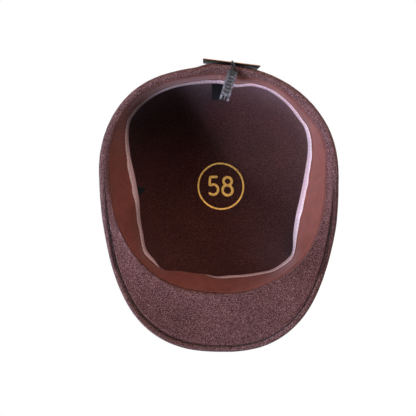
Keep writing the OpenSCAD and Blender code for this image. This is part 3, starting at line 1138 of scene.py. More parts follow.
    def seat(self, points: Array) -> Array:
        """Tips points on to the ground.

        Args:
            points: rows of three millimetres in the plane of the rim.

        Returns:
            The same rows as the cap stands, in metres.
        """
        tip, shift_y, shift_z = self.seated
        y = points[..., 1] * math.cos(tip) + points[..., 2] * math.sin(tip) + shift_y
        z = points[..., 2] * math.cos(tip) - points[..., 1] * math.sin(tip) + shift_z
        return np.stack([points[..., 0], y, z], axis=-1) * MM

    def along_ring(self, ring: Callable[[Array], Array], pitch: float) -> tuple[Array, Array]:
        """Spaces angles evenly along a closed line.

        Args:
            ring: gives the line's points, in metres, for an array of angles.
            pitch: the wanted distance from one place to the next, in metres.

        Returns:
            The angles, and the unit tangent at each.
        """
        fine = np.linspace(0, FULL_TURN, 2881)
        run = run_along(ring(fine))
        count = max(3, round(run[-1] / pitch))
        angles = np.interp(np.arange(count) / count * run[-1], run, fine)
        little = 1e-3
        return angles, unit(ring(angles + little) - ring(angles - little))


# ---------------------------------------------------------------- felt


@dataclass
class FeltBody:
    """The moulded crown with its turned-in edge, the facing under the peak, and the groove."""

    form: CapForm
    columns: int = 288
    crown_rows: int = 210
    facing_rows: int = 96
    # where the section's parts begin, as shares of the rows: outer face, bend, underside, lip,
    # inner side of the hem, inner face, and its end at the top
    section_stops: tuple[float, ...] = (0.0, 0.42, 0.52, 0.56, 0.585, 0.61, 1.0)
    # how softly the lip is rounded beside the peak, and elsewhere
    lip_rounding: tuple[float, float] = (1.5, 0.25)
    # the same for the facing's corner across the groove
    facing_rounding: tuple[float, float] = (1.3, 0.2)
    groove: float = 1.0
    groove_narrowed: float = 0.1
    stitch_pitch: float = 5.5
    stitch_length: float = 4.3
    stitch_dip: float = 0.8
    thread: float = 0.95
    thread_depth: float = 0.9
    thread_drawn_up: float = 1.2
    pucker: float = 0.35
    # where on the section the hem puckers: the middle of the lip's bend, and its reach
    pucker_share: float = 0.545
    pucker_reach: float = 0.06
    swell_size: float = 46.0
    swell: float = 0.55
    nap_size: float = 5.0
    nap: float = 0.12
    ripple_size: float = 17.0
    ripple: float = 0.22

    def roughened(self, points: Array, centre: Array) -> Array:
        """Moves points a little along their own direction from a centre line, as felt does.

        Args:
            points: the surface's points, in metres.
            centre: for each, the point that it moves away from or towards.

        Returns:
            The moved points.
        """
        away = points - centre
        away /= np.maximum(np.linalg.norm(away, axis=1, keepdims=True), 1e-9)
        height = self.swell * unevenness(points / MM, self.swell_size, seed=3.1)
        height += self.nap * unevenness(points / MM, self.nap_size, seed=11.7)
        return points + away * height[:, None] * MM

    def crown_profile(self, a: Array, v: Array) -> tuple[Array, Array]:
        """The section of crown and hem, from the outer top round to the inner.

        Args:
            a: angles round the head.
            v: shares of the way along the section, from 0 to 1.

        Returns:
            The radii and the heights.
        """
        form = self.form
        stops = np.array(self.section_stops)
        part = np.clip(np.searchsorted(stops, v, side="right") - 1, 0, len(stops) - 2)
        share = (v - stops[part]) / (stops[part + 1] - stops[part])
        r, z = np.zeros_like(a), np.zeros_like(a)
        leave = form.leave(a)
        down = -math.pi / 2
        soften = mix(*self.lip_rounding, form.away(a))

        outer = part == 0
        t = 1 - share[outer] ** 0.85
        r[outer], z[outer] = form.crown_curve(a[outer], t, 0.0)
        bend = part == 1
        r[bend], z[bend] = form.edge(a[bend], mix(leave[bend], down, share[bend]))
        under = part == 2
        span = mix(form.edge_radius, form.turn_in - soften[under], share[under])
        r[under], z[under] = form.inset(a[under], span, 0.0)
        lip = part == 3
        sweep = share[lip] * math.pi / 2
        r[lip], z[lip] = form.inset(
            a[lip],
            form.turn_in - soften[lip] + soften[lip] * np.sin(sweep),
            soften[lip] * (1 - np.cos(sweep)),
        )
        rise = part == 4
        back = mix(form.turn_in, form.edge_radius - 0.3, smooth(share[rise]))
        r[rise], z[rise] = form.inset(
            a[rise], back, mix(soften[rise], form.facing, np.minimum(1, 2.0 * share[rise]))
        )
        inner = part == 5
        t = share[inner] ** 1.15
        r[inner], z[inner] = form.crown_curve(a[inner], t, form.felt)
        return r, z

    def dress_inside(self, crown: bpy.types.Object) -> None:
        """Gives the crown's inner face its own finish, darker and redder as painted shade of the
        cavity.

        Args:
            crown: the crown, already dressed all over in its outer finish.
        """
        crown.data.materials.append(SHADED_INNER_FELT.material())
        middle = Vector((0, self.form.seated[1] * MM, 20 * MM))
        hem_top = 12 * MM
        for face in crown.data.polygons:
            inwards = face.normal.dot(middle - face.center) > 0
            on_hem = face.center.z < hem_top and face.normal.z < -0.3
            face.material_index = 1 if inwards and not on_hem else 0

    def groove_pucker(self, a: Array, v: Array) -> Array:
        """How the hem is pulled in at each stitch.

        Args:
            a: angles round the head.
            v: shares of the way along the section.

        Returns:
            The pull, as a share from 0 to 1.
        """
        form = self.form
        fine = np.linspace(0, FULL_TURN, 2881)
        run = run_along(form.round_head(fine, *form.inset(fine, form.turn_in, 0.0)))
        count = round(run[-1] / self.stitch_pitch)
        phase = np.interp(np.mod(a, FULL_TURN), fine, run) / run[-1] * count
        near_lip = smooth(1 - np.abs(v - self.pucker_share) / self.pucker_reach)
        return near_lip * (0.5 + 0.5 * np.cos(FULL_TURN * phase))

    def build_crown(self) -> bpy.types.Object:
        """Builds the crown, its turned edge and its inner face as one closed felt body.

        Returns:
            The crown.
        """
        form = self.form
        dome_centre, still_radius = 30.0, 4

        def place(u: Array, v: Array) -> Array:
            """Lays the grid's points on the crown's section."""
            a = u * FULL_TURN
            r, z = self.crown_profile(a, v)
            z = z + self.pucker * self.groove_pucker(a, v)
            points = form.seat(form.round_head(a, r, z))
            centre = form.seat(np.stack([0 * r, 0 * r, np.minimum(z, dome_centre)], axis=-1))
            rough = self.roughened(points, centre)
            # the top's points meet at one place, so they are left alone
            still = (r < still_radius)[:, None]
            return np.where(still, points, rough)

        return laid_grid("crown_felt", self.columns, self.crown_rows, place)

    def build_facing(self) -> bpy.types.Object:
        """Builds the felt facing from the groove to the band's seam, as a closed ring.

        Returns:
            The facing.
        """
        form = self.form

        def place(u: Array, v: Array) -> Array:
            """Lays the grid's points round the facing's section, a quarter to each side."""
            a = u * FULL_TURN
            away = form.away(a)
            groove = self.groove * mix(1.0, self.groove_narrowed, away)
            start = form.rim_radius(a) - form.turn_in - groove
            rounding = mix(*self.facing_rounding, away)
            end = form.seam_radius(a)
            loop = np.mod(v, 1.0) * 4
            side = np.minimum(3, loop.astype(int))
            share = loop - side
            r = np.select(
                [side == 0, side == 1, side == 2, side == 3],
                [mix(start, end, share), end, mix(end, start, share), start],
            )
            lift = np.select(
                [side == 0, side == 1, side == 2, side == 3],
                [0 * share, share, 1 + 0 * share, 1 - share],
            )
            # the lower corner beside the groove is pressed round
            close = np.clip((start - r) / rounding, 0, 1)
            crown = np.where(side == 0, rounding * (1 - np.sqrt(1 - (1 - close) ** 2)), 0.0)
            z = form.rim_height(a, r) + lift * form.facing + crown
            points = form.seat(form.round_head(a, r, z))
            ripple = self.ripple * unevenness(points / MM, self.ripple_size, seed=5.3)
            ripple += self.nap * unevenness(points / MM, self.nap_size, seed=7.9)
            points[:, 2] += ripple * MM * (side == 0) * smooth((start - r) / 2)
            return points

        return laid_grid("underbrim_facing", self.columns, self.facing_rows, place)

    def build_groove_thread(self) -> bpy.types.Object:
        """Builds the row of stitches that lies in the groove between hem and facing.

        Returns:
            The stitches.
        """
        form = self.form

        def ring(a: Array) -> Array:
            """The thread's line, which is drawn up with the strip away from the peak."""
            depth = self.thread_depth + self.thread_drawn_up * form.away(a)
            r, z = form.inset(a, form.turn_in + self.groove / 2, depth)
            return form.seat(form.round_head(a, r, z))

        angles, tangents = form.along_ring(ring, self.stitch_pitch * MM)
        down = np.array([0.0, 0.0, -1.0])
        stitch = modelled_stitch(self.stitch_length * MM, self.thread * MM, self.stitch_dip * MM)
        frames = []
        for spot, along in zip(ring(angles), tangents):
            side = unit(np.cross(down, along))
            frames.append(np.stack([spot, along, side, np.cross(along, side)]))
        return copied_along("groove_stitches", stitch, frames)

    def make(self, frame: dict[str, Any]) -> None:
        """Builds, dresses and places the felt pieces.

        Args:
            frame: the construction's nodes, of which the peak board is dressed as it is.
        """
        crown = self.build_crown()
        CROWN_FELT.dress(crown)
        self.dress_inside(crown)
        finish_piece(crown, Body.CAP, "crown_felt", "crown_shell")
        facing = self.build_facing()
        FACING_FELT.dress(facing)
        finish_piece(facing, Body.CAP, "facing_felt", "underbrim")
        thread = self.build_groove_thread()
        GROOVE_THREAD.dress(thread)
        finish_piece(thread, Body.CAP, "dark_thread", "edge_stitching")
        STIFFENER.dress(frame["nodes"]["peak_board"])


def finish_piece(piece: bpy.types.Object, body: Body, slot: str, *stands_for: str) -> None:
    """Rides a piece on its body and reports it.

    Args:
        piece: the finished piece.
        body: the rigid body that it moves with.
        slot: not used.
        *stands_for: the construction's nodes that it stands for.
    """
    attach(piece, body.value)
    if stands_for:
        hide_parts(*stands_for)
    faces = len(piece.data.polygons) if piece.type == "MESH" else 0
    log.info("%s rides on %s, %d faces", piece.name, body.value, faces)


# ---------------------------------------------------------------- sweatband


@dataclass
class Sweatband:
    """The leatherette band, the tape that binds its free edge, and their stitches."""

    form: CapForm
    width: float = 30.0
    thickness: float = 0.9
    foot: float = 3.0
    foot_gap: float = 0.3
    step_in: float = 1.3
    tape_width: float = 4.4
    tape_thickness: float = 0.4
    tape_gap: float = 0.05
    # which shares of the tape's width lie on each side of the fold over the edge
    tape_fold: tuple[float, float] = (0.4, 0.6)
    # the tape's border wanders by these millimetres, so many times round the head
    tape_wander: tuple[tuple[float, int, float], ...] = ((0.22, 23, 0.0), (0.16, 41, 1.1))
    tape_stitch_pitch: float = 3.6
    tape_stitch_length: float = 2.5
    tape_thread: float = 0.42
    tape_thread_inset: float = 0.9
    join_stitches: int = 7
    join_pitch: float = 3.2
    join_first: float = 2.2
    join_thread: float = 0.6
    join_thread_out: float = 0.12
    stitch_dip: float = 0.3
    bow: float = math.radians(7)
    columns: int = 320
    rows: int = 56
    tape_columns: int = 640
    tape_rows: int = 48
    # the share of the rows that make the sewn foot
    foot_share: float = 0.12
    # the free edge waves by these millimetres, so many times round the head
    edge_waves: tuple[tuple[float, int, float], ...] = ((0.5, 3, 0.7), (0.35, 7, 0.0))
    # the skin buckles where it is gathered behind the peak: height, middle and half width in
    # degrees, and how far up from the seam the folds take to grow
    buckle: float = 0.45
    buckle_middle: float = 4.0
    buckle_spread: float = 40.0
    buckle_rise: float = 5.0
    # where the cord is pulled through, the band's foot gapes: middle and half width in degrees
    gape: float = 2.6
    gape_middle: float = -169.0
    gape_spread: float = 5.8
    # how far the band leans in, in millimetres, by signed degrees round the head
    lean: tuple[tuple[float, float], ...] = (
        (-180, 7), (-160, 5.5), (-120, 5), (-110, 8.5), (-90, 13), (-70, 15.5), (-60, 14.5),
        (-50, 9), (-40, -2.5), (-30, -2.5), (-20, 2), (-8, 5.5), (0, 6), (10, 12), (20, 9.5),
        (30, -0.5), (40, -1.5), (50, 8), (60, 15.5), (70, 19), (80, 17), (90, 14), (100, 12),
        (110, 9.5), (120, 6.5), (150, 7.3), (180, 7),
    )  # fmt: skip
    # how far the taped edge is tilted in from upright, by signed degrees round the head
    edge_tilt: tuple[tuple[float, float], ...] = (
        (-180, 40), (-150, 27), (-120, 31), (-90, 48), (-65, 55), (-50, 44), (-40, 20), (-25, 6),
        (0, 0), (7, -20), (12, -70), (16, -110), (23, -110), (28, -40), (34, 15), (40, 30),
        (60, 38), (75, 55), (86, 62), (100, 40), (120, 28), (150, 26), (180, 40),
    )  # fmt: skip
    edge_start: float = 8.0
    edge_bend: float = 4.0

    @staticmethod
    def waves(table: Sequence[tuple[float, int, float]], a: Array) -> Array:
        """The sum of a few waves round the head: height, how many, and phase of each."""
        return sum(height * np.sin(count * a + phase) for height, count, phase in table)

    def foot_height(self, a: Array) -> Array:
        """Height of the band's sewn foot, on top of the facing at its seam."""
        form = self.form
        return form.rim_height(a, form.seam_radius(a)) + form.facing + self.foot_gap

    def tilts(self, a: Array, s: Array) -> Array:
        """The band's lean from upright.

        Args:
            a: angles round the head.
            s: distances up the band from its seam.

        Returns:
            The lean at each, in radians.
        """
        signed = signed_degrees(a)
        base = np.arcsin(np.clip(eased(self.lean, signed) / self.width, -1, 1))
        bowed = base + self.bow * (1 - 2 * s / self.width)
        edge = np.radians(eased(self.edge_tilt, signed))
        return mix(bowed, edge, smooth((s - self.width + self.edge_start) / self.edge_bend))

    def lines(self, a: Array, s_values: Array) -> tuple[Array, Array, Array]:
        """Follows the band's near face up from its seam.

        Args:
            a: angles round the head.
            s_values: rising distances up the band, from 0.

        Returns:
            Radius, height and lean, each with one row per distance.
        """
        off = np.abs(np.mod(np.degrees(a) - self.gape_middle + 180, 360) - 180)
        opened = self.gape * smooth(1 - off / (2 * self.gape_spread))
        r = self.form.seam_radius(a) - self.step_in - opened
        z = self.foot_height(a)
        radii, heights, leans = [r], [z], [self.tilts(a, np.zeros_like(a))]
        for s0, s1 in zip(s_values[:-1], s_values[1:]):
            middle = self.tilts(a, np.full_like(a, (s0 + s1) / 2))
            r = r - np.sin(middle) * (s1 - s0)
            z = z + np.cos(middle) * (s1 - s0)
            radii.append(r)
            heights.append(z)
            leans.append(self.tilts(a, np.full_like(a, s1)))
        return np.stack(radii), np.stack(heights), np.stack(leans)

    def on_band(self, a: Array, s: Array, out: Array | float) -> Array:
        """Places points on the band.

        Args:
            a: angles round the head.
            s: distances up the band from its seam.
            out: distances from its near face towards the head.

        Returns:
            The points, in metres.
        """
        steps = 60
        radii, heights, leans = self.lines(a, np.linspace(0, self.width, steps + 1))
        k = np.clip((s / self.width * steps).astype(int), 0, steps - 1)
        share = s / self.width * steps - k
        i = np.arange(len(a))
        r = mix(radii[k, i], radii[k + 1, i], share)
        z = mix(heights[k, i], heights[k + 1, i], share)
        lean = mix(leans[k, i], leans[k + 1, i], share)
        r, z = r - out * np.cos(lean), z - out * np.sin(lean)
        free = smooth(s / self.width)
        wave = free * self.waves(self.edge_waves, a)
        ahead = smooth(1 - np.abs(signed_degrees(a) - self.buckle_middle) / self.buckle_spread)
        # uneven folds that grow above the seam and fade towards the free edge
        folds = (1 - free) * smooth(s / self.buckle_rise) * np.sin(31 * a + np.sin(9 * a))
        buckle = self.buckle * ahead * folds
        return self.form.seat(self.form.round_head(a, r + wave + buckle, z))

    def build_band(self) -> bpy.types.Object:
        """Builds the band as a sheet from its sewn foot to its free edge, then thickens it.

        Returns:
            The band.
        """
        form, foot_share = self.form, self.foot_share

        def place(u: Array, v: Array) -> Array:
            """Lays the first rows flat on the facing and the others up the band."""
            a = u * FULL_TURN
            standing = v >= foot_share
            s = np.where(standing, (v - foot_share) / (1 - foot_share) * self.width, 0)
            points = self.on_band(a, s, 0.0)
            r = form.seam_radius(a) + self.foot * (1 - v / foot_share) - self.step_in
            lying = form.seat(form.round_head(a, r, self.foot_height(a)))
            return np.where(standing[:, None], points, lying)

        piece = laid_grid("sweatband_skin", self.columns, self.rows, place)
        outward = self.faces_head(piece)
        apply_modifier(
            piece,
            "SOLIDIFY",
            thickness=self.thickness * MM,
            offset=-1.0 if outward else 1.0,
            use_even_offset=True,
        )
        clean_up(piece)
        return piece

    @staticmethod
    def faces_head(piece: bpy.types.Object) -> bool:
        """Whether the sheet's faces point at the head, judged at one upright face."""
        upright = [p for p in piece.data.polygons if abs(p.normal.z) < 0.6 and p.center.x > 0.05]
        return bool(upright) and sum(p.normal.x for p in upright) < 0

    def build_tape(self) -> bpy.types.Object:
        """Builds the tape that is folded over the free edge.

        Returns:
            The tape.
        """
        reach = self.width - self.tape_width
        half = self.tape_thickness / 2
        near = self.tape_gap + half
        far = -self.thickness - self.tape_gap - half
        middle, radius = (near + far) / 2, (near - far) / 2
        fold_start, fold_end = self.tape_fold

        def place(u: Array, v: Array) -> Array:
            """Lays the points once round the tape's section: outer skin, then inner skin back."""
            a = u * FULL_TURN
            outer = v < 0.5
            skin = np.where(outer, half, -half)
            w = np.where(outer, v * 2, 2 - v * 2)
            wander = self.waves(self.tape_wander, a)
            up = mix(reach + wander, self.width, w / fold_start)
            down = mix(self.width, reach - wander, (w - fold_end) / (1 - fold_end))
            s = np.where(w < fold_start, up, np.where(w > fold_end, down, self.width))
            sweep = np.clip((w - fold_start) / (fold_end - fold_start), 0, 1) * math.pi
            out = middle + (radius + skin) * np.cos(sweep)
            points = self.on_band(a, np.minimum(s, self.width), out)
            over = (radius + skin) * np.sin(sweep)
            lean = self.tilts(a, np.full_like(a, self.width))
            r_up, z_up = -np.sin(lean) * over, np.cos(lean) * over
            tip = self.form.seated[0]
            rise = np.stack([r_up * np.sin(a), -r_up * np.cos(a), z_up], axis=-1)
            y = rise[:, 1] * math.cos(tip) + rise[:, 2] * math.sin(tip)
            z = rise[:, 2] * math.cos(tip) - rise[:, 1] * math.sin(tip)
            return points + np.stack([rise[:, 0], y, z], axis=-1) * MM

        return laid_grid("binding_tape", self.tape_columns, self.tape_rows, place)

    def build_tape_thread(self) -> bpy.types.Object:
        """Builds the fine stitches along the tape's lower border.

        Returns:
            The stitches.
        """
        line = self.width - self.tape_width + self.tape_thread_inset
        out = self.tape_gap + self.tape_thickness + 0.1

        def ring(a: Array) -> Array:
            """The thread's line, just above the tape's near face."""
            return self.on_band(a, np.full_like(a, line), out)

        angles, tangents = self.form.along_ring(ring, self.tape_stitch_pitch * MM)
        spots = ring(angles)
        outward = unit(self.on_band(angles, np.full_like(angles, line), out + 1) - spots)
        stitch = modelled_stitch(
            self.tape_stitch_length * MM, self.tape_thread * MM, self.stitch_dip * MM
        )
        frames = [
            np.stack([spot, along, unit(np.cross(up, along)), up])
            for spot, along, up in zip(spots, tangents, outward)
        ]
        return copied_along("tape_stitches", stitch, frames)

    def build_join_thread(self) -> bpy.types.Object:
        """Builds the short upright row of stitches where the band's two ends meet.

        Returns:
            The stitches.
        """
        back = np.full(self.join_stitches, math.pi)
        s = self.join_first + self.join_pitch * np.arange(self.join_stitches)
        out = self.join_thread_out
        spots = self.on_band(back, s, out)
        upward = unit(self.on_band(back, s + 0.5, out) - spots)
        outward = unit(self.on_band(back, s, out + 1) - spots)
        sewn_share = 0.82
        stitch = modelled_stitch(
            sewn_share * self.join_pitch * MM, self.join_thread * MM, self.stitch_dip * MM
        )
        frames = [
            np.stack([spot, along, np.cross(out_from, along), out_from])
            for spot, along, out_from in zip(spots, upward, outward)
        ]
        return copied_along("join_stitches", stitch, frames)

    def make(self, frame: dict[str, Any]) -> None:
        """Builds, dresses and places the band's pieces.

        Args:
            frame: the construction's nodes, of which the seam's stitches are dressed as they are.
        """
        band = self.build_band()
        BAND_SKIN.dress(band)
        finish_piece(band, Body.CAP, "leatherette", "sweatband")
        tape = self.build_tape()
        BINDING_TAPE.dress(tape)
        finish_piece(tape, Body.CAP, "tape", "band_binding")
        tape_thread = self.build_tape_thread()
        TAPE_THREAD.dress(tape_thread)
        finish_piece(tape_thread, Body.CAP, "pale_thread", "binding_stitching")
        join_thread = self.build_join_thread()
        JOIN_THREAD.dress(join_thread)
        finish_piece(join_thread, Body.CAP, "pale_thread", "join_stitching")
        # the seam's stitches take the same near-black, painted as the shade line between band and
        # facing
        GROOVE_THREAD.dress(frame["nodes"]["seam_stitching"])


# ---------------------------------------------------------------- labels and mark


@dataclass
class Labels:
    """The sewn labels that curl out from behind the band."""

    form: CapForm
    band: Sweatband
    thickness: float = 0.35
    columns: int = 24
    rows: int = 48
    sag: float = 0.5
    twist: float = 0.35
    # where along a label its tip begins to fold, and over what share it does
    fold_start: float = 0.72
    fold_run: float = 0.26

    def build_label(
        self,
        name: str,
        a: float,
        width: float,
        curl: Sequence[tuple[float, float]],
        folded: float = 0.0,
    ) -> bpy.types.Object:
        """Builds one woven label.

        Args:
            name: the piece's name.
            a: its place round the head, in degrees.
            width: its width in millimetres.
            curl: its side line, as pairs of distance towards the head from the band's foot
                and height above it, in millimetres.
            folded: the share of its width that is folded away at the tip.

        Returns:
            The label, closed and thick.
        """
        angle = math.radians(a)
        seam = np.array([angle])
        r0 = float(self.form.seam_radius(seam)[0]) - self.band.step_in
        z0 = float(self.band.foot_height(seam)[0])
        line = np.array(curl, float)
        run = run_along(line)
        run /= run[-1]
        inward, height = (list(zip(run, line[:, k])) for k in (0, 1))

        def place(u: Array, v: Array) -> Array:
            """Lays the grid's points on the curled label, which sags and twists a little."""
            tip = smooth((v - self.fold_start) / self.fold_run)
            across = (u - 0.5) * width * (1 - folded * tip)
            bulge = self.sag * (1 - (2 * u - 1) ** 2) + self.twist * (u - 0.5)
            r = r0 - eased(inward, v) + smooth(v) * bulge
            z = z0 + eased(height, v)
            x = r * math.sin(angle) + across * math.cos(angle)
            y = -r * math.cos(angle) + across * math.sin(angle)
            return self.form.seat(np.stack([x, y, z], axis=-1))

        piece = laid_grid(name, self.columns, self.rows, place)
        apply_modifier(piece, "SOLIDIFY", thickness=self.thickness * MM, offset=0.0)
        clean_up(piece)
        return piece

    def hang(
        self,
        node: str,
        a: float,
        width: float,
        curl: Sequence[tuple[float, float]],
        folded: float = 0.0,
    ) -> None:
        """Args:
            node: the construction's label that it stands for.
            a: its place round the head, in degrees.
            width: its width in millimetres.
            curl: its side line, as build_label takes it.
            folded: the share of its width that is folded away at the tip.
        """
        label = self.build_label(f"{node}_satin", a, width, curl, folded)
        LABEL_SATIN.dress(label)
        finish_piece(label, Body.CAP, "label_satin", node)
        length = float(run_along(np.array(curl, float))[-1])

    def make(self) -> None:
        """Makes the two labels."""
        self.hang(
            "care_label", 179, 11, [(-2.2, 1.6), (0, 10), (3, 20), (6.5, 29), (15, 35), (28, 38)]
        )
        self.hang("size_label", 75, 11, [(-3, 1.6), (3, 9), (11, 18), (19, 25), (28, 28.5)], 0.8)


@dataclass
class GoldMark:
    """The gold ring and the size numeral stamped inside the crown, read from below."""

    form: CapForm
    middle: tuple[float, float] = (-2.5, -24.8)
    ring_radius: float = 21.4
    ring_line: float = 1.6
    stroke: float = 2.4
    foil: float = 0.2
    clear: float = 0.3
    figure_scale: float = 1.12
    figure_gap: float = 6.0

    def ceiling(self, x: Array, y: Array, depth: Array) -> Array:
        """Places points under the crown's inner face.

        Args:
            x: places across the cap, in millimetres.
            y: places along it.
            depth: distances below the inner face.

        Returns:
            The points, in metres.
        """
        a = np.arctan2(x, -y)
        wanted = np.hypot(x, y)
        # the inner face's curve is read from the top down to well past the mark
        curves = [
            self.form.crown_curve(a, np.full_like(a, t), self.form.felt)
            for t in np.linspace(1.0, 0.45, 120)
        ]
        radii = np.stack([curve[0] for curve in curves])
        heights = np.stack([curve[1] for curve in curves])
        z = np.array([np.interp(w, radii[:, i], heights[:, i]) for i, w in enumerate(wanted)])
        return self.form.seat(self.form.round_head(a, wanted, z - depth))

    def ribbon(
        self, name: str, path: Sequence[tuple[float, float]], width: float, closed: bool
    ) -> bpy.types.Object:
        """Builds one foil stroke.

        Args:
            name: the piece's name.
            path: the stroke's middle line as it reads, across and up from the mark's middle.
            width: the stroke's width in millimetres.
            closed: whether the line closes on itself.

        Returns:
            The stroke, closed and thick.
        """
        line = np.array([*path, path[0]] if closed else path, float)
        run = run_along(line)
        column_width, look_ahead = 0.6, 0.4
        columns = max(24, round(run[-1] / column_width))

        def at(u: Array) -> Array:
            """The middle line's points at shares of its length."""
            where = np.mod(u, 1.0) * run[-1] if closed else np.clip(u, 0, 1) * run[-1]
            return np.stack([np.interp(where, run, line[:, k]) for k in (0, 1)], axis=-1)

        def place(u: Array, v: Array) -> Array:
            """Lays the grid's points round the stroke's flat section, with rounded ends."""
            step = look_ahead / run[-1]
            ahead = unit(at(u + step) - at(u - step))
            side = np.stack([-ahead[:, 1], ahead[:, 0]], axis=-1)
            end = width / 2 / run[-1]
            near = np.clip(np.minimum(u, 1 - u) / end, 0, 1)
            rounded = np.ones_like(u) if closed else np.sqrt(1 - (1 - near) ** 2)
            turn = v * FULL_TURN
            across = np.clip(1.3 * np.cos(turn), -1, 1) * width / 2 * rounded
            lift = np.clip(1.6 * np.sin(turn), -1, 1) * self.foil / 2
            spot = at(u) + side * across[:, None]
            x = self.middle[0] - spot[:, 0]
            y = self.middle[1] + spot[:, 1]
            return self.ceiling(x, y, self.clear + self.foil / 2 + lift)

        return laid_grid(name, columns, 12, place)

    @staticmethod
    def arc(
        middle: tuple[float, float], radius: float, first: float, last: float
    ) -> list[tuple[float, float]]:
        """Follows an arc.

        Args:
            middle: the arc's centre.
            radius: its radius.
            first: the angle that it starts at, in degrees.
            last: the angle that it ends at.

        Returns:
            Its points, about seven degrees apart.
        """
        count = max(8, round(abs(last - first) / 7))
        turns = [math.radians(first + (last - first) * k / count) for k in range(count + 1)]
        return [
            (middle[0] + radius * math.cos(t), middle[1] + radius * math.sin(t)) for t in turns
        ]

    def make(self) -> None:
        """Builds, gilds and places the ring and the numeral."""
        ring = self.ribbon(
            "gold_ring", self.arc((0, 0), self.ring_radius, 0, 355), self.ring_line, True
        )
        k, gap = self.figure_scale, self.figure_gap
        lower, upper, low_y = 4.2, 3.4, -3.3
        five = [(3.6, 7.5), (-3.0, 7.5), (-3.5, 0.9)] + self.arc((-0.3, -3.2), 4.3, 122, -150)
        eight_low = self.arc((0, low_y), lower, 0, 353)
        eight_high = self.arc((0, low_y + lower + upper), upper, 0, 353)
        strokes = [
            self.ribbon(name, [(k * (x + to), k * y) for x, y in path], self.stroke, closed)
            for name, path, to, closed in (
                ("five", five, -gap, False),
                ("low", eight_low, gap, True),
                ("high", eight_high, gap, True),
            )
        ]
        numeral = joined("gold_numeral", strokes)
        for piece, node in ((ring, "foil_ring"), (numeral, "foil_numeral")):
            GOLD_FOIL.dress(piece)
            finish_piece(piece, Body.CAP, "gold_foil", node)


# ---------------------------------------------------------------- swing tag


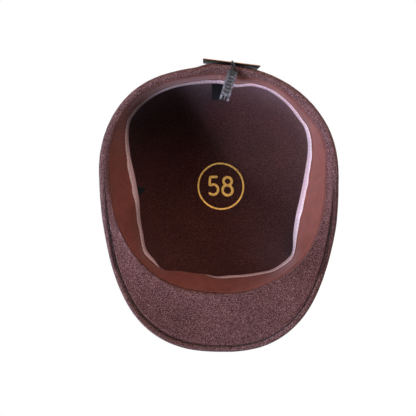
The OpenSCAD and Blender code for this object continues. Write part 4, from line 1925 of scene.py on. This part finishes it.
@dataclass
class SwingTag:
    """The card outside the back rim, the cord that holds it, and the seal on the cord."""

    card_width: float = 50.0
    card_length: float = 80.0
    card_thickness: float = 0.6
    card_hole: float = 2.8
    card_middle: tuple[float, float, float] = (-10.0, 129.95, 1.9)
    card_lean: float = math.radians(2)
    card_turn: float = math.radians(6.5)
    card_bow: float = 0.9
    card_edge: float = 0.12
    hole_height: float = 4.2
    corner: float = 3.0
    seal_mouth: tuple[float, float, float] = (-11.1, 122.6, 0.3)
    seal_turn: float = math.radians(16.6)
    seal_length: float = 26.3
    seal_width: float = 8.3
    seal_thickness: float = 3.4
    seal_edge: float = 0.45
    # the mouth's bore: its radius, how deep it goes, and how far its cutter stands out
    bore: tuple[float, float, float] = (1.3, 12.5, 13.5)
    # the two slits of the forked end: width, depth, and how far their cutter stands out
    slit: tuple[float, float, float] = (1.5, 3.6, 2.3)
    # the plain ribs on the grey face: how many, the first one's place, and their pitch
    ribs: int = 6
    rib_first: float = 3.8
    rib_pitch: float = 3.0
    rib_width: float = 1.7
    rib_depth: float = 0.5
    rib_margin: float = 1.6
    cord_diameter: float = 1.2
    cord_length: float = 32.2
    # the cord's line: out of the seam, round the foot of the card and back into the seal
    cord_route: tuple[tuple[float, float, float], ...] = (
        (-13.5, 117.1, 7.4), (-13.5, 117.2, 6.2), (-13.4, 117.8, 5.2), (-13.3, 119, 4.6),
        (-13.3, 120.8, 4.6), (-13.2, 122.6, 4.6), (-13.1, 124, 4.1), (-13, 125.2, 3.1),
        (-12.8, 126.3, 2.1), (-12.4, 127.3, 1.2), (-11.9, 128.4, 0.8), (-11.3, 129.5, 0.8),
        (-10.8, 130.5, 1.1), (-10.5, 130.85, 2.3), (-10.3, 130.9, 3.7), (-10.1, 130.8, 5.1),
        (-10.1, 130.3, 6.0), (-10, 129.3, 6.2), (-10, 128.4, 5.8), (-10.1, 127.6, 5),
        (-10.3, 126.7, 4.1), (-10.6, 125.7, 3.2), (-11, 124.7, 2.5), (-11.2, 123.7, 2.1),
        (-11.2, 122.6, 2), (-10.9, 121.4, 2),
    )  # fmt: skip

    def build_cord(self) -> bpy.types.Object:
        """Builds the cord as one round-bevelled curve along its route.

        Returns:
            The cord.
        """
        curve = bpy.data.curves.new("tag_cord_line", "CURVE")
        curve.dimensions = "3D"
        curve.bevel_depth = self.cord_diameter / 2 * MM
        curve.bevel_resolution = 4
        curve.use_fill_caps = True
        curve.resolution_u = 4
        spline = curve.splines.new("NURBS")
        spline.points.add(len(self.cord_route) - 1)
        for point, spot in zip(spline.points, self.cord_route):
            point.co = (spot[0] * MM, spot[1] * MM, spot[2] * MM, 1)
        spline.order_u = 3
        spline.use_endpoint_u = True
        piece = bpy.data.objects.new("tag_cord_line", curve)
        bpy.context.scene.collection.objects.link(piece)
        return piece

    def build_card(self) -> bpy.types.Object:
        """Builds the card: round corners, a punched hole and a slight bow along its length.

        Returns:
            The card.
        """
        deselect_all()
        bpy.ops.mesh.primitive_grid_add(x_subdivisions=20, y_subdivisions=32, size=1)
        card = bpy.context.object
        card.name = card.data.name = "swing_card_sheet"
        half, length = self.card_width / 2, self.card_length
        for vertex in card.data.vertices:
            x, z = vertex.co.x * self.card_width, (vertex.co.y + 0.5) * length
            near_x = half - abs(x)
            near_z = min(z, length - z)
            if near_x < self.corner and near_z < self.corner:
                dx, dz = self.corner - near_x, self.corner - near_z
                far = math.hypot(dx, dz)
                if far > self.corner:
                    pull = self.corner / far
                    near_x = self.corner - dx * pull
                    near_z = self.corner - dz * pull
                    x = math.copysign(half - near_x, x)
                    z = near_z if z < length / 2 else length - near_z
            vertex.co = (x * MM, self.card_bow * (z / length) ** 2 * MM, z * MM)
        apply_modifier(card, "SOLIDIFY", thickness=self.card_thickness * MM, offset=0.0)
        punch_length = 10 * self.card_thickness
        self.cut_away(card, self.round_cutter(self.card_hole / 2, punch_length, 0, self.hole_height))
        apply_modifier(card, "BEVEL", width=self.card_edge * MM, segments=2, limit_method="ANGLE")
        clean_up(card)
        self.put_down(card, (self.card_lean, 0, self.card_turn), self.card_middle, 35)
        return card

    @staticmethod
    def round_cutter(radius: float, length: float, y: float, z: float) -> bpy.types.Object:
        """Adds a round bar along Y that a hole is cut with.

        Args:
            radius: the hole's radius in millimetres.
            length: the bar's length.
            y: the place of the bar's middle along itself.
            z: the height of its axis.

        Returns:
            The cutter.
        """
        deselect_all()
        bpy.ops.mesh.primitive_cylinder_add(
            vertices=32,
            radius=radius * MM,
            depth=length * MM,
            location=(0, y * MM, z * MM),
            rotation=(math.pi / 2, 0, 0),
        )
        cutter = bpy.context.object
        settle(cutter)
        return cutter

    @staticmethod
    def block(middle: Sequence[float], size: Sequence[float]) -> bpy.types.Object:
        """Adds a block.

        Args:
            middle: its middle in millimetres.
            size: its three sizes.

        Returns:
            The block, with its place in its mesh.
        """
        deselect_all()
        bpy.ops.mesh.primitive_cube_add(size=1, location=[c * MM for c in middle])
        added = bpy.context.object
        added.scale = [c * MM for c in size]
        settle(added)
        return added

    @staticmethod
    def cut_away(piece: bpy.types.Object, cutter: bpy.types.Object) -> None:
        """Cuts one mesh's shape out of a piece, and removes that mesh."""
        apply_modifier(piece, "BOOLEAN", operation="DIFFERENCE", object=cutter, solver="EXACT")
        bpy.data.objects.remove(cutter)

    @staticmethod
    def put_down(
        piece: bpy.types.Object, turn: Sequence[float], place: Sequence[float], sharp: float
    ) -> None:
        """Turns a finished piece, puts it in its place and smooths it.

        Args:
            piece: the piece, modelled about its own origin.
            turn: its turns about the three axes, in radians.
            place: its place in millimetres.
            sharp: the angle in degrees past which an edge stays sharp.
        """
        piece.rotation_euler = turn
        piece.location = [c * MM for c in place]
        settle(piece)
        bpy.ops.object.shade_smooth_by_angle(angle=math.radians(sharp))

    def build_seal(self) -> bpy.types.Object:
        """Builds the seal: a bevelled bar with a bored mouth, a forked end and a ribbed face.

        Returns:
            The seal.
        """
        length, width, thick = self.seal_length, self.seal_width, self.seal_thickness
        seal = self.block((0, -length / 2, thick / 2), (width, length, thick))
        seal.name = seal.data.name = "seal_bar"
        radius, deep, out = self.bore
        cutters = [self.round_cutter(radius, deep + out, (out - deep) / 2, thick / 2)]
        slit_width, slit_depth, past = self.slit
        for side in (-1, 1):
            middle = (side * width / 6, -length, thick / 2)
            cutters.append(self.block(middle, (slit_width, 2 * slit_depth, thick + 2 * past)))
        for index in range(self.ribs):
            middle = (0, -self.rib_first - self.rib_pitch * index, 0)
            size = (width - 2 * self.rib_margin, self.rib_width, 2 * self.rib_depth)
            cutters.append(self.block(middle, size))
        for cutter in cutters:
            self.cut_away(seal, cutter)
        edge = self.seal_edge * MM
        apply_modifier(
            seal, "BEVEL", width=edge, segments=3, limit_method="ANGLE", angle_limit=0.6
        )
        clean_up(seal)
        SEAL_PLASTIC.dress(seal)
        seal.data.materials.append(SEAL_FACE_HIGHLIGHT_PLASTIC.material())
        # the face below is painted grey as highlight, from near its mouth to just short of the
        # forked end
        first, last = 1.5 * MM, 0.87 * length * MM
        for face in seal.data.polygons:
            highlit_face_below = face.normal.z < -0.95 and face.center.z < 0.1 * MM
            face.material_index = 1 if highlit_face_below and first < -face.center.y < last else 0
        self.put_down(seal, (0, 0, self.seal_turn), self.seal_mouth, 30)
        return seal

    def make(self, frame: dict[str, Any]) -> None:
        """Args:
            frame: the construction's nodes, of which the seal's plug is dressed as it is.
        """
        cord = self.build_cord()
        WAXED_CORD.dress(cord)
        finish_piece(cord, Body.CAP, "cord", "tag_cord")
        card = self.build_card()
        TAG_CARD.dress(card)
        card.data.materials.append(CARD_CORE.material())
        outward = Vector((-math.sin(self.card_turn), math.cos(self.card_turn), 0))
        for face in card.data.polygons:
            face.material_index = 0 if abs(face.normal.dot(outward)) > 0.9 else 1
        finish_piece(card, Body.CARD, "black_card", "swing_card")
        seal = self.build_seal()
        finish_piece(seal, Body.SEAL, "seal_plastic", "seal_body")
        plug = frame["nodes"]["seal_plug"]
        SEAL_PLASTIC.dress(plug)


# ---------------------------------------------------------------- studio


@dataclass(frozen=True)
class Softbox:
    """One soft lamp: its place, size, strength and tint, its target and its beam's spread."""

    name: str
    place: tuple[float, float, float]
    size: float
    watts: float
    tint: str
    target: tuple[float, float, float] = (0.0, 0.0, 0.04)
    spread: float = math.pi


@dataclass
class Studio:
    """The camera, the soft lamps, the white surround and the pale floor."""

    azimuth: float = 180.13
    elevation: float = -84.0
    roll: float = 0.7
    distance: float = 0.95
    lens: float = 94.6
    aim: tuple[float, float, float] = (0.0092, 0.004, 0.0)
    surround: float = 0.09
    floor_size: float = 6.0
    # how far from the middle the floor begins to turn white, and where it is all white
    floor_fade: tuple[float, float] = (0.2, 0.75)
    floor_glow: float = 0.55
    floor_grey: float = 0.88
    # the narrow lamp lights the far wall inside the cap; those above light its outer face
    lamps: tuple[Softbox, ...] = (
        Softbox("key_below", (0.88, -0.4, -0.48), 0.6, 16.0, "#dfe8ff"),
        Softbox("warm_below", (-0.25, 0.8, -0.68), 0.6, 7.0, "#ffd6c6"),
        Softbox(
            "window_below", (0.5, -0.4, -0.45), 0.16, 0.06, "#dfe4ff",
            target=(-0.07, 0.085, 0.06), spread=math.radians(6),
        ),
        Softbox("key_above", (-0.6, -0.7, 0.9), 0.7, 9.0, "#fff6ee"),
        Softbox("fill_above", (0.8, 0.3, 0.8), 0.9, 5.0, "#e9efff"),
        Softbox("back_above", (0.1, 0.9, 0.7), 0.7, 4.0, "#ffffff"),
    )

    def make_camera(self) -> None:
        """Sets the camera at the working view, looking up into the cap."""
        a, e = math.radians(self.azimuth), math.radians(self.elevation)
        back = Vector((math.sin(a) * math.cos(e), -math.cos(a) * math.cos(e), math.sin(e)))
        data = bpy.data.cameras.new("camera")
        data.lens = self.lens
        data.clip_start = 0.01
        camera = bpy.data.objects.new("camera", data)
        bpy.context.scene.collection.objects.link(camera)
        camera.location = Vector(self.aim) + back * self.distance
        level = (-back).to_track_quat("-Z", "Y")
        tilted = level @ Quaternion((0, 0, 1), math.radians(self.roll))
        camera.rotation_euler = tilted.to_euler()
        bpy.context.scene.camera = camera

    def make_lamps(self) -> None:
        """Hangs the soft lamps, each turned to the cap."""
        for lamp in self.lamps:
            data = bpy.data.lights.new(lamp.name, "AREA")
            data.shape = "DISK"
            data.size = lamp.size
            data.energy = lamp.watts
            data.color = linear(lamp.tint)[:3]
            data.spread = lamp.spread
            holder = bpy.data.objects.new(lamp.name, data)
            bpy.context.scene.collection.objects.link(holder)
            holder.location = lamp.place
            direction = Vector(lamp.target) - Vector(lamp.place)
            holder.rotation_euler = direction.to_track_quat("-Z", "Y").to_euler()
            holder.visible_camera = False

    def make_surround(self) -> None:
        """Makes a world that looks white, also in gloss, and lights the cap softly."""
        world = bpy.data.worlds.new("surround")
        bpy.context.scene.world = world
        world.use_nodes = True
        tree = world.node_tree
        tree.nodes.clear()
        rays = add_node(tree, "ShaderNodeLightPath")
        seen = rays.outputs["Is Camera Ray"]
        for kind in ("Is Glossy Ray", "Is Transmission Ray"):
            seen = add_node(
                tree, "ShaderNodeMath", {"operation": "MAXIMUM"}, {0: seen, 1: rays.outputs[kind]}
            ).outputs[0]
        strength = add_node(
            tree, "ShaderNodeMapRange", {"To Min": self.surround, "To Max": 1.0}, {"Value": seen}
        ).outputs[0]
        light = add_node(
            tree, "ShaderNodeBackground", {"Color": (1, 1, 1, 1)}, {"Strength": strength}
        )
        add_node(tree, "ShaderNodeOutputWorld", None, {0: light.outputs[0]})

    def make_floor(self) -> None:
        """Lays a pale floor that only the camera sees, and only from above."""
        deselect_all()
        bpy.ops.mesh.primitive_plane_add(size=self.floor_size)
        floor = bpy.context.object
        floor.name = "floor"
        material = bpy.data.materials.new("pale_floor")
        material.use_nodes = True
        tree = material.node_tree
        tree.nodes.clear()
        side = add_node(tree, "ShaderNodeNewGeometry").outputs["Backfacing"]
        where = add_node(tree, "ShaderNodeTexCoord").outputs["Object"]
        far = add_node(
            tree, "ShaderNodeVectorMath", {"operation": "LENGTH"}, {0: where}
        ).outputs["Value"]
        # the floor takes the shadow near the cap and turns white farther out
        start, end = self.floor_fade
        white = add_node(
            tree,
            "ShaderNodeMapRange",
            {"From Min": start, "From Max": end, "To Min": self.floor_glow, "To Max": 1.0},
            {"Value": far},
        ).outputs[0]
        grey = (self.floor_grey,) * 3 + (1.0,)
        paint = add_node(tree, "ShaderNodeBsdfDiffuse", {"Color": grey}).outputs[0]
        glow = add_node(tree, "ShaderNodeEmission", {"Strength": 1.0}).outputs[0]
        front = add_node(
            tree, "ShaderNodeMixShader", None, {0: white, 1: paint, 2: glow}
        ).outputs[0]
        clear = add_node(tree, "ShaderNodeBsdfTransparent").outputs[0]
        both = add_node(tree, "ShaderNodeMixShader", None, {0: side, 1: front, 2: clear}).outputs[0]
        add_node(tree, "ShaderNodeOutputMaterial", None, {"Surface": both})
        floor.data.materials.append(material)
        floor.visible_shadow = False
        floor.visible_diffuse = False
        floor.visible_glossy = False
        floor.visible_transmission = False

    def make(self) -> None:
        """Makes the whole studio."""
        self.make_camera()
        self.make_lamps()
        self.make_surround()
        self.make_floor()
        bpy.context.scene.view_settings.view_transform = "Standard"


def main() -> None:
    """Builds the cap's looks in order."""
    logging.basicConfig(level=logging.INFO, format="%(name)s: %(message)s")
    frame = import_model()
    Studio().make()
    tag = SwingTag()
    tag.make(frame)
    form = CapForm()
    log.info("the cap is tipped by %.2f degrees", math.degrees(form.seated[0]))
    FeltBody(form).make(frame)
    band = Sweatband(form)
    band.make(frame)
    Labels(form, band).make()
    GoldMark(form).make()


if __name__ == "__main__":
    main()
